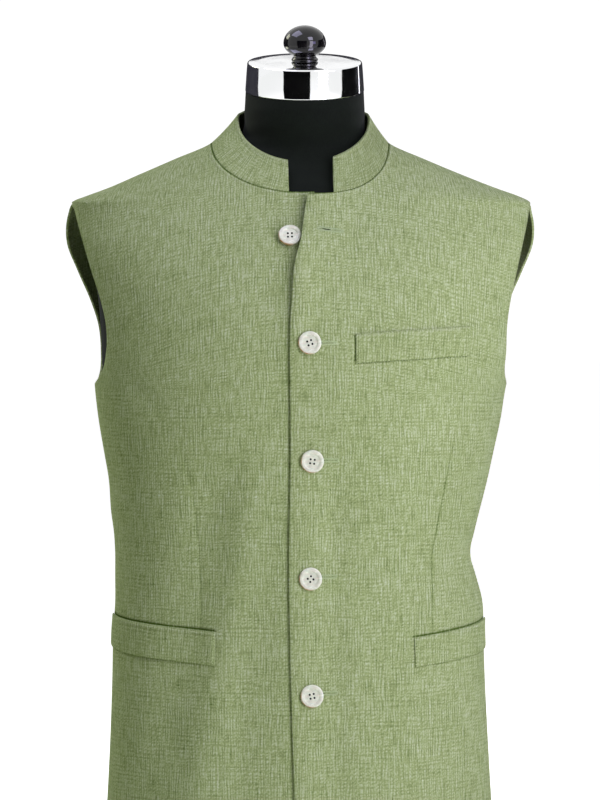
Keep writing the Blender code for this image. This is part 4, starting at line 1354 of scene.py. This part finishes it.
def pearl():
    """Mother-of-pearl: cloudy white with faint colour, and brown at the lower left edge."""
    n = Nodes(bpy.data.materials.new("mother_of_pearl"))
    place = n.own()
    cloud = n.noise((260, 420, 200), 3.0, 0.6)
    band = n.noise((130, 900, 300), 2.0, offset=(2.0, 1.0, 0.0))
    clouded = n.ramp(cloud, ((0.28, linear(208, 212, 182)), (0.5, linear(226, 230, 199)),
                             (0.72, linear(239, 242, 213))))
    tinted = n.ramp(band, ((0.3, linear(238, 224, 226)), (0.5, linear(240, 240, 238)),
                           (0.7, linear(220, 236, 236))))
    side, up = n.parts(place)
    lower_left = n.mixed(0.0, ((side, -0.75), (up, -0.66)))
    radius = n.math("POWER", n.math("ADD", n.math("POWER", side, 2.0), n.math("POWER", up, 2.0)), 0.5)
    at_edge = n.spread(radius, 0.88 * BUTTON_RADIUS, 0.95 * BUTTON_RADIUS)
    lower_left_brown = n.math("MULTIPLY", n.spread(lower_left, 0.0020, 0.0080), at_edge)
    lower_left_brown = n.math("MULTIPLY", lower_left_brown, n.spread(cloud, 0.34, 0.60, 0.50, 1.0))
    shell = n.mix(0.55, clouded, tinted, "MULTIPLY")
    n.set(Base_Color=n.mix(lower_left_brown, shell, (*linear(158, 112, 34), 1.0)))
    n.set(Roughness=n.spread(cloud, 0.3, 0.7, 0.16, 0.30), Coat_Weight=0.4, Coat_Roughness=0.08)
    return n.owner


def thread():
    """Matt sewing thread, a little paler than the linen."""
    n = Nodes(bpy.data.materials.new("sewing_thread"))
    twist = n.noise((2200, 2200, 2200))
    colour = n.ramp(twist, ((0.3, linear(150, 170, 112)), (0.7, linear(196, 211, 160))))
    n.set(Base_Color=colour, Roughness=0.7, Specular_IOR_Level=0.3)
    return n.owner


def painted_hole_shade():
    """Painted shade: the dark inside of a buttonhole, also put on the buttons' hole walls and thread
    shanks.
    """
    n = Nodes(bpy.data.materials.new("painted_shade_hole"))
    shade_noise = n.noise((900, 900, 900))
    n.set(Base_Color=n.ramp(shade_noise, ((0.35, linear(30, 36, 24)), (0.75, linear(66, 76, 52)))))
    n.set(Roughness=0.95, Specular_IOR_Level=0.0)
    return n.owner


def jersey():
    """Smooth black jersey stretched over the form, with its fine ribs."""
    n = Nodes(bpy.data.materials.new("black_jersey"))
    rib = n.noise((1500, 1500, 160))
    fuzz = n.noise((60, 60, 60), 3.0)
    colour = n.ramp(n.mixed(0.0, ((rib, 0.6), (fuzz, 0.4))),
                    ((0.3, linear(6, 10, 5)), (0.7, linear(14, 21, 12))))
    n.set(Base_Color=colour, Normal=n.bump(0.25, 0.0003, rib), Roughness=0.82, Specular_IOR_Level=0.10)
    n.set(Sheen_Weight=0.03, Sheen_Roughness=0.5)
    return n.owner


def chrome():
    """Polished chrome with a trace of polishing marks and handling."""
    n = Nodes(bpy.data.materials.new("chrome_plate"))
    smear = n.noise((38, 38, 90), 3.0, 0.6)
    brushed = n.noise((25, 25, 2600))
    rough = n.math("MULTIPLY_ADD", brushed, 0.02, n.spread(smear, 0.35, 0.75, 0.02, 0.075))
    n.set(Base_Color=(0.86, 0.87, 0.88, 1.0), Metallic=1.0, Roughness=rough)
    return n.owner


def gloss():
    """Dark polished lacquer of the knob, with faint wear on its crown."""
    n = Nodes(bpy.data.materials.new("black_lacquer"))
    worn = n.noise((90, 90, 90), 4.0, 0.6)
    n.set(Base_Color=n.ramp(worn, ((0.4, linear(10, 10, 11)), (0.8, linear(24, 22, 21)))))
    n.set(Roughness=n.spread(worn, 0.35, 0.75, 0.05, 0.16))
    n.set(Coat_Weight=0.15, Coat_Roughness=0.03, Specular_IOR_Level=0.35)
    return n.owner


# Stage, light and camera

# Dark cards that only reflections see: azimuths in degrees from the front, and grey value
CARDS = table(
    "start end grey",
    (-42, 11, 0.004),
    (77, 131, 0.006),
    (132, 180, 0.05),
    (-180, -102, 0.06),
)
CARD_RADIUS = 1.25
CARD_LOW_Z = -0.4
CARD_HIGH_Z = 1.35
CARD_STEPS = 12

# Distances from the middle between which the floor's own glow grows to full, and the share of it
# that is there at the nearer one: the dimmer glow round the form lets its real shadows show and adds a
# painted shade round its foot
FLOOR_GLOW_NEAR = 0.30
FLOOR_GLOW_FAR = 0.75
FLOOR_GLOW_LEAST = 0.35

# Strength of the surroundings where they are seen and where they light matt faces, and their tint
# on those
WORLD_SEEN = 1.05
WORLD_ON_CLOTH = 0.02
WORLD_TINT = (0.92, 1.0, 0.62)


def add_stage():
    """Pale glowing floor, dimmer round the form as painted shade, white surroundings, and the cards that
    the polished cap mirrors.
    """
    n = Nodes(bpy.data.materials.new("pale_floor"))
    mottle = n.noise((3, 3, 3), 3.0)
    n.set(Base_Color=n.ramp(mottle, ((0.3, (0.77, 0.82, 0.64)), (0.7, (0.81, 0.86, 0.68)))), Roughness=0.9)
    diffuse = n.add("ShaderNodeLightPath", 2)
    away = n.add("ShaderNodeVectorMath", 1, {"operation": "LENGTH"}, i0=n.own())
    # Painted shade: the glow weakens towards the form, darkening the floor round its foot
    glow = n.spread(away, FLOOR_GLOW_NEAR, FLOOR_GLOW_FAR, FLOOR_GLOW_LEAST, 1.0)
    n.set(Emission_Color=(1.0, 1.0, 1.0, 1.0), Specular_IOR_Level=0.0)
    n.set(Emission_Strength=n.math("MULTIPLY", glow, n.math("SUBTRACT", 1.0, diffuse)))
    bpy.ops.mesh.primitive_plane_add(size=60, location=(0, 0, 0))
    floor = bpy.context.object
    floor.name = "floor"
    floor.data.materials.append(n.owner)
    for number, row in enumerate(CARDS):
        name = "card_" + str(number)
        dark = Nodes(bpy.data.materials.new(name))
        dark.set(Base_Color=(*[row["grey"]] * 3, 1.0), Roughness=1.0, Specular_IOR_Level=0.0)
        turns = np.radians(np.linspace(row["start"], row["end"], CARD_STEPS + 1))
        low = [(CARD_RADIUS * math.sin(t), -CARD_RADIUS * math.cos(t), CARD_LOW_Z) for t in turns]
        high = [(x, y, CARD_HIGH_Z) for x, y, z in low]
        above = len(low)
        faces = [(k, k + 1, above + k + 1, above + k) for k in range(CARD_STEPS)]
        mesh = bpy.data.meshes.new(name)
        mesh.from_pydata(low + high, [], faces)
        mesh.materials.append(dark.owner)
        card = bpy.data.objects.new(name, mesh)
        link(card)
        card.visible_camera = False
        card.visible_diffuse = False
        card.visible_shadow = False


def add_world():
    """White surroundings, less strong as light on the cloth than as seen or mirrored."""
    world = bpy.data.worlds.new("studio")
    bpy.context.scene.world = world
    n = Nodes(world, "Background")
    diffuse = n.add("ShaderNodeLightPath", 2)
    n.set(Color=n.mix(diffuse, (1.0, 1.0, 1.0, 1.0), (*WORLD_TINT, 1.0)))
    n.set(Strength=n.spread(diffuse, 0.0, 1.0, WORLD_SEEN, WORLD_ON_CLOTH))


# Lights: place and size in metres, power and colour
LIGHTS_AIM = (0.0, 0.0, 0.5)
LIGHTS = table(
    "name x y z width height watts red green blue",
    ("strip", 0.85, -1.15, 0.50, 0.45, 1.7, 16.5, 0.94, 0.89, 1.12),
    ("key", 1.2, -1.7, 2.4, 1.0, 1.0, 23.0, 0.98, 0.93, 1.28),
    ("side", 2.7, -2.1, 1.25, 1.0, 1.0, 8.5, 0.92, 0.78, 1.85),
    ("top", -1.0, -0.2, 2.7, 1.4, 1.2, 20.0, 1.00, 0.97, 1.40),
    ("back_left", -2.0, 1.2, 1.9, 1.0, 1.2, 18.0, 1.00, 1.00, 0.75),
    ("back_right", 2.3, 1.9, 1.3, 0.8, 1.2, 18.0, 1.00, 0.98, 1.10),
)


def aim_at(made, place, aim):
    """Link an object at a place, with its own -Z turned towards a point."""
    made.location = place
    made.rotation_euler = (Vector(aim) - made.location).to_track_quat("-Z", "Y").to_euler()
    link(made)


def add_lights():
    """Plain soft studio lights, all turned towards the chest."""
    for row in LIGHTS:
        light = bpy.data.lights.new(row["name"], "AREA")
        light.shape = "RECTANGLE"
        light.size = row["width"]
        light.size_y = row["height"]
        light.energy = row["watts"]
        light.color = (row["red"], row["green"], row["blue"])
        made = bpy.data.objects.new(row["name"], light)
        made.visible_camera = False
        aim_at(made, (row["x"], row["y"], row["z"]), LIGHTS_AIM)


def add_camera():
    """Camera at the photograph's place, level with the chest and looking slightly down."""
    camera = bpy.data.cameras.new("camera")
    camera.sensor_width = SENSOR
    camera.lens = SENSOR * CAMERA_DISTANCE / PICTURE_HEIGHT
    made = bpy.data.objects.new("camera", camera)
    place = SHIFT + Vector((0.0, -CAMERA_DISTANCE, CAMERA_HEIGHT))
    aim_at(made, place, SHIFT + Vector((0.0, 0.0, PICTURE_MIDDLE_Z)))
    bpy.context.scene.camera = made


def main():
    finishes = {
        # Only the body panels get the painted shade under the top seam
        "linen": linen("slub_linen", seam=1.0),
        "collar": linen("slub_linen_collar", -0.03, 0.12),
        "welt": linen("slub_linen_welt", -0.02, 0.05),
        "pearl": pearl(),
        "thread": thread(),
        "shadow": painted_hole_shade(),
        "chrome": chrome(),
        "gloss": gloss(),
    }
    add_form(jersey())
    grids = {"back": back_grid(), "front_right": front_grid("right"), "front_left": front_grid("left")}
    for name, grid in grids.items():
        add_panel(name, grid, finishes["linen"], first=name == "back", last=True, top=True)
    add_collar(grids, finishes["collar"])
    for row in WELTS:
        add_welt(row, finishes["welt"])
    add_buttons(finishes)
    add_buttonholes(finishes)
    add_welt_stitches(finishes)
    add_neck_fittings(finishes)
    add_stage()
    add_world()
    add_lights()
    add_camera()
    bpy.context.scene.view_settings.view_transform = "Standard"


main()
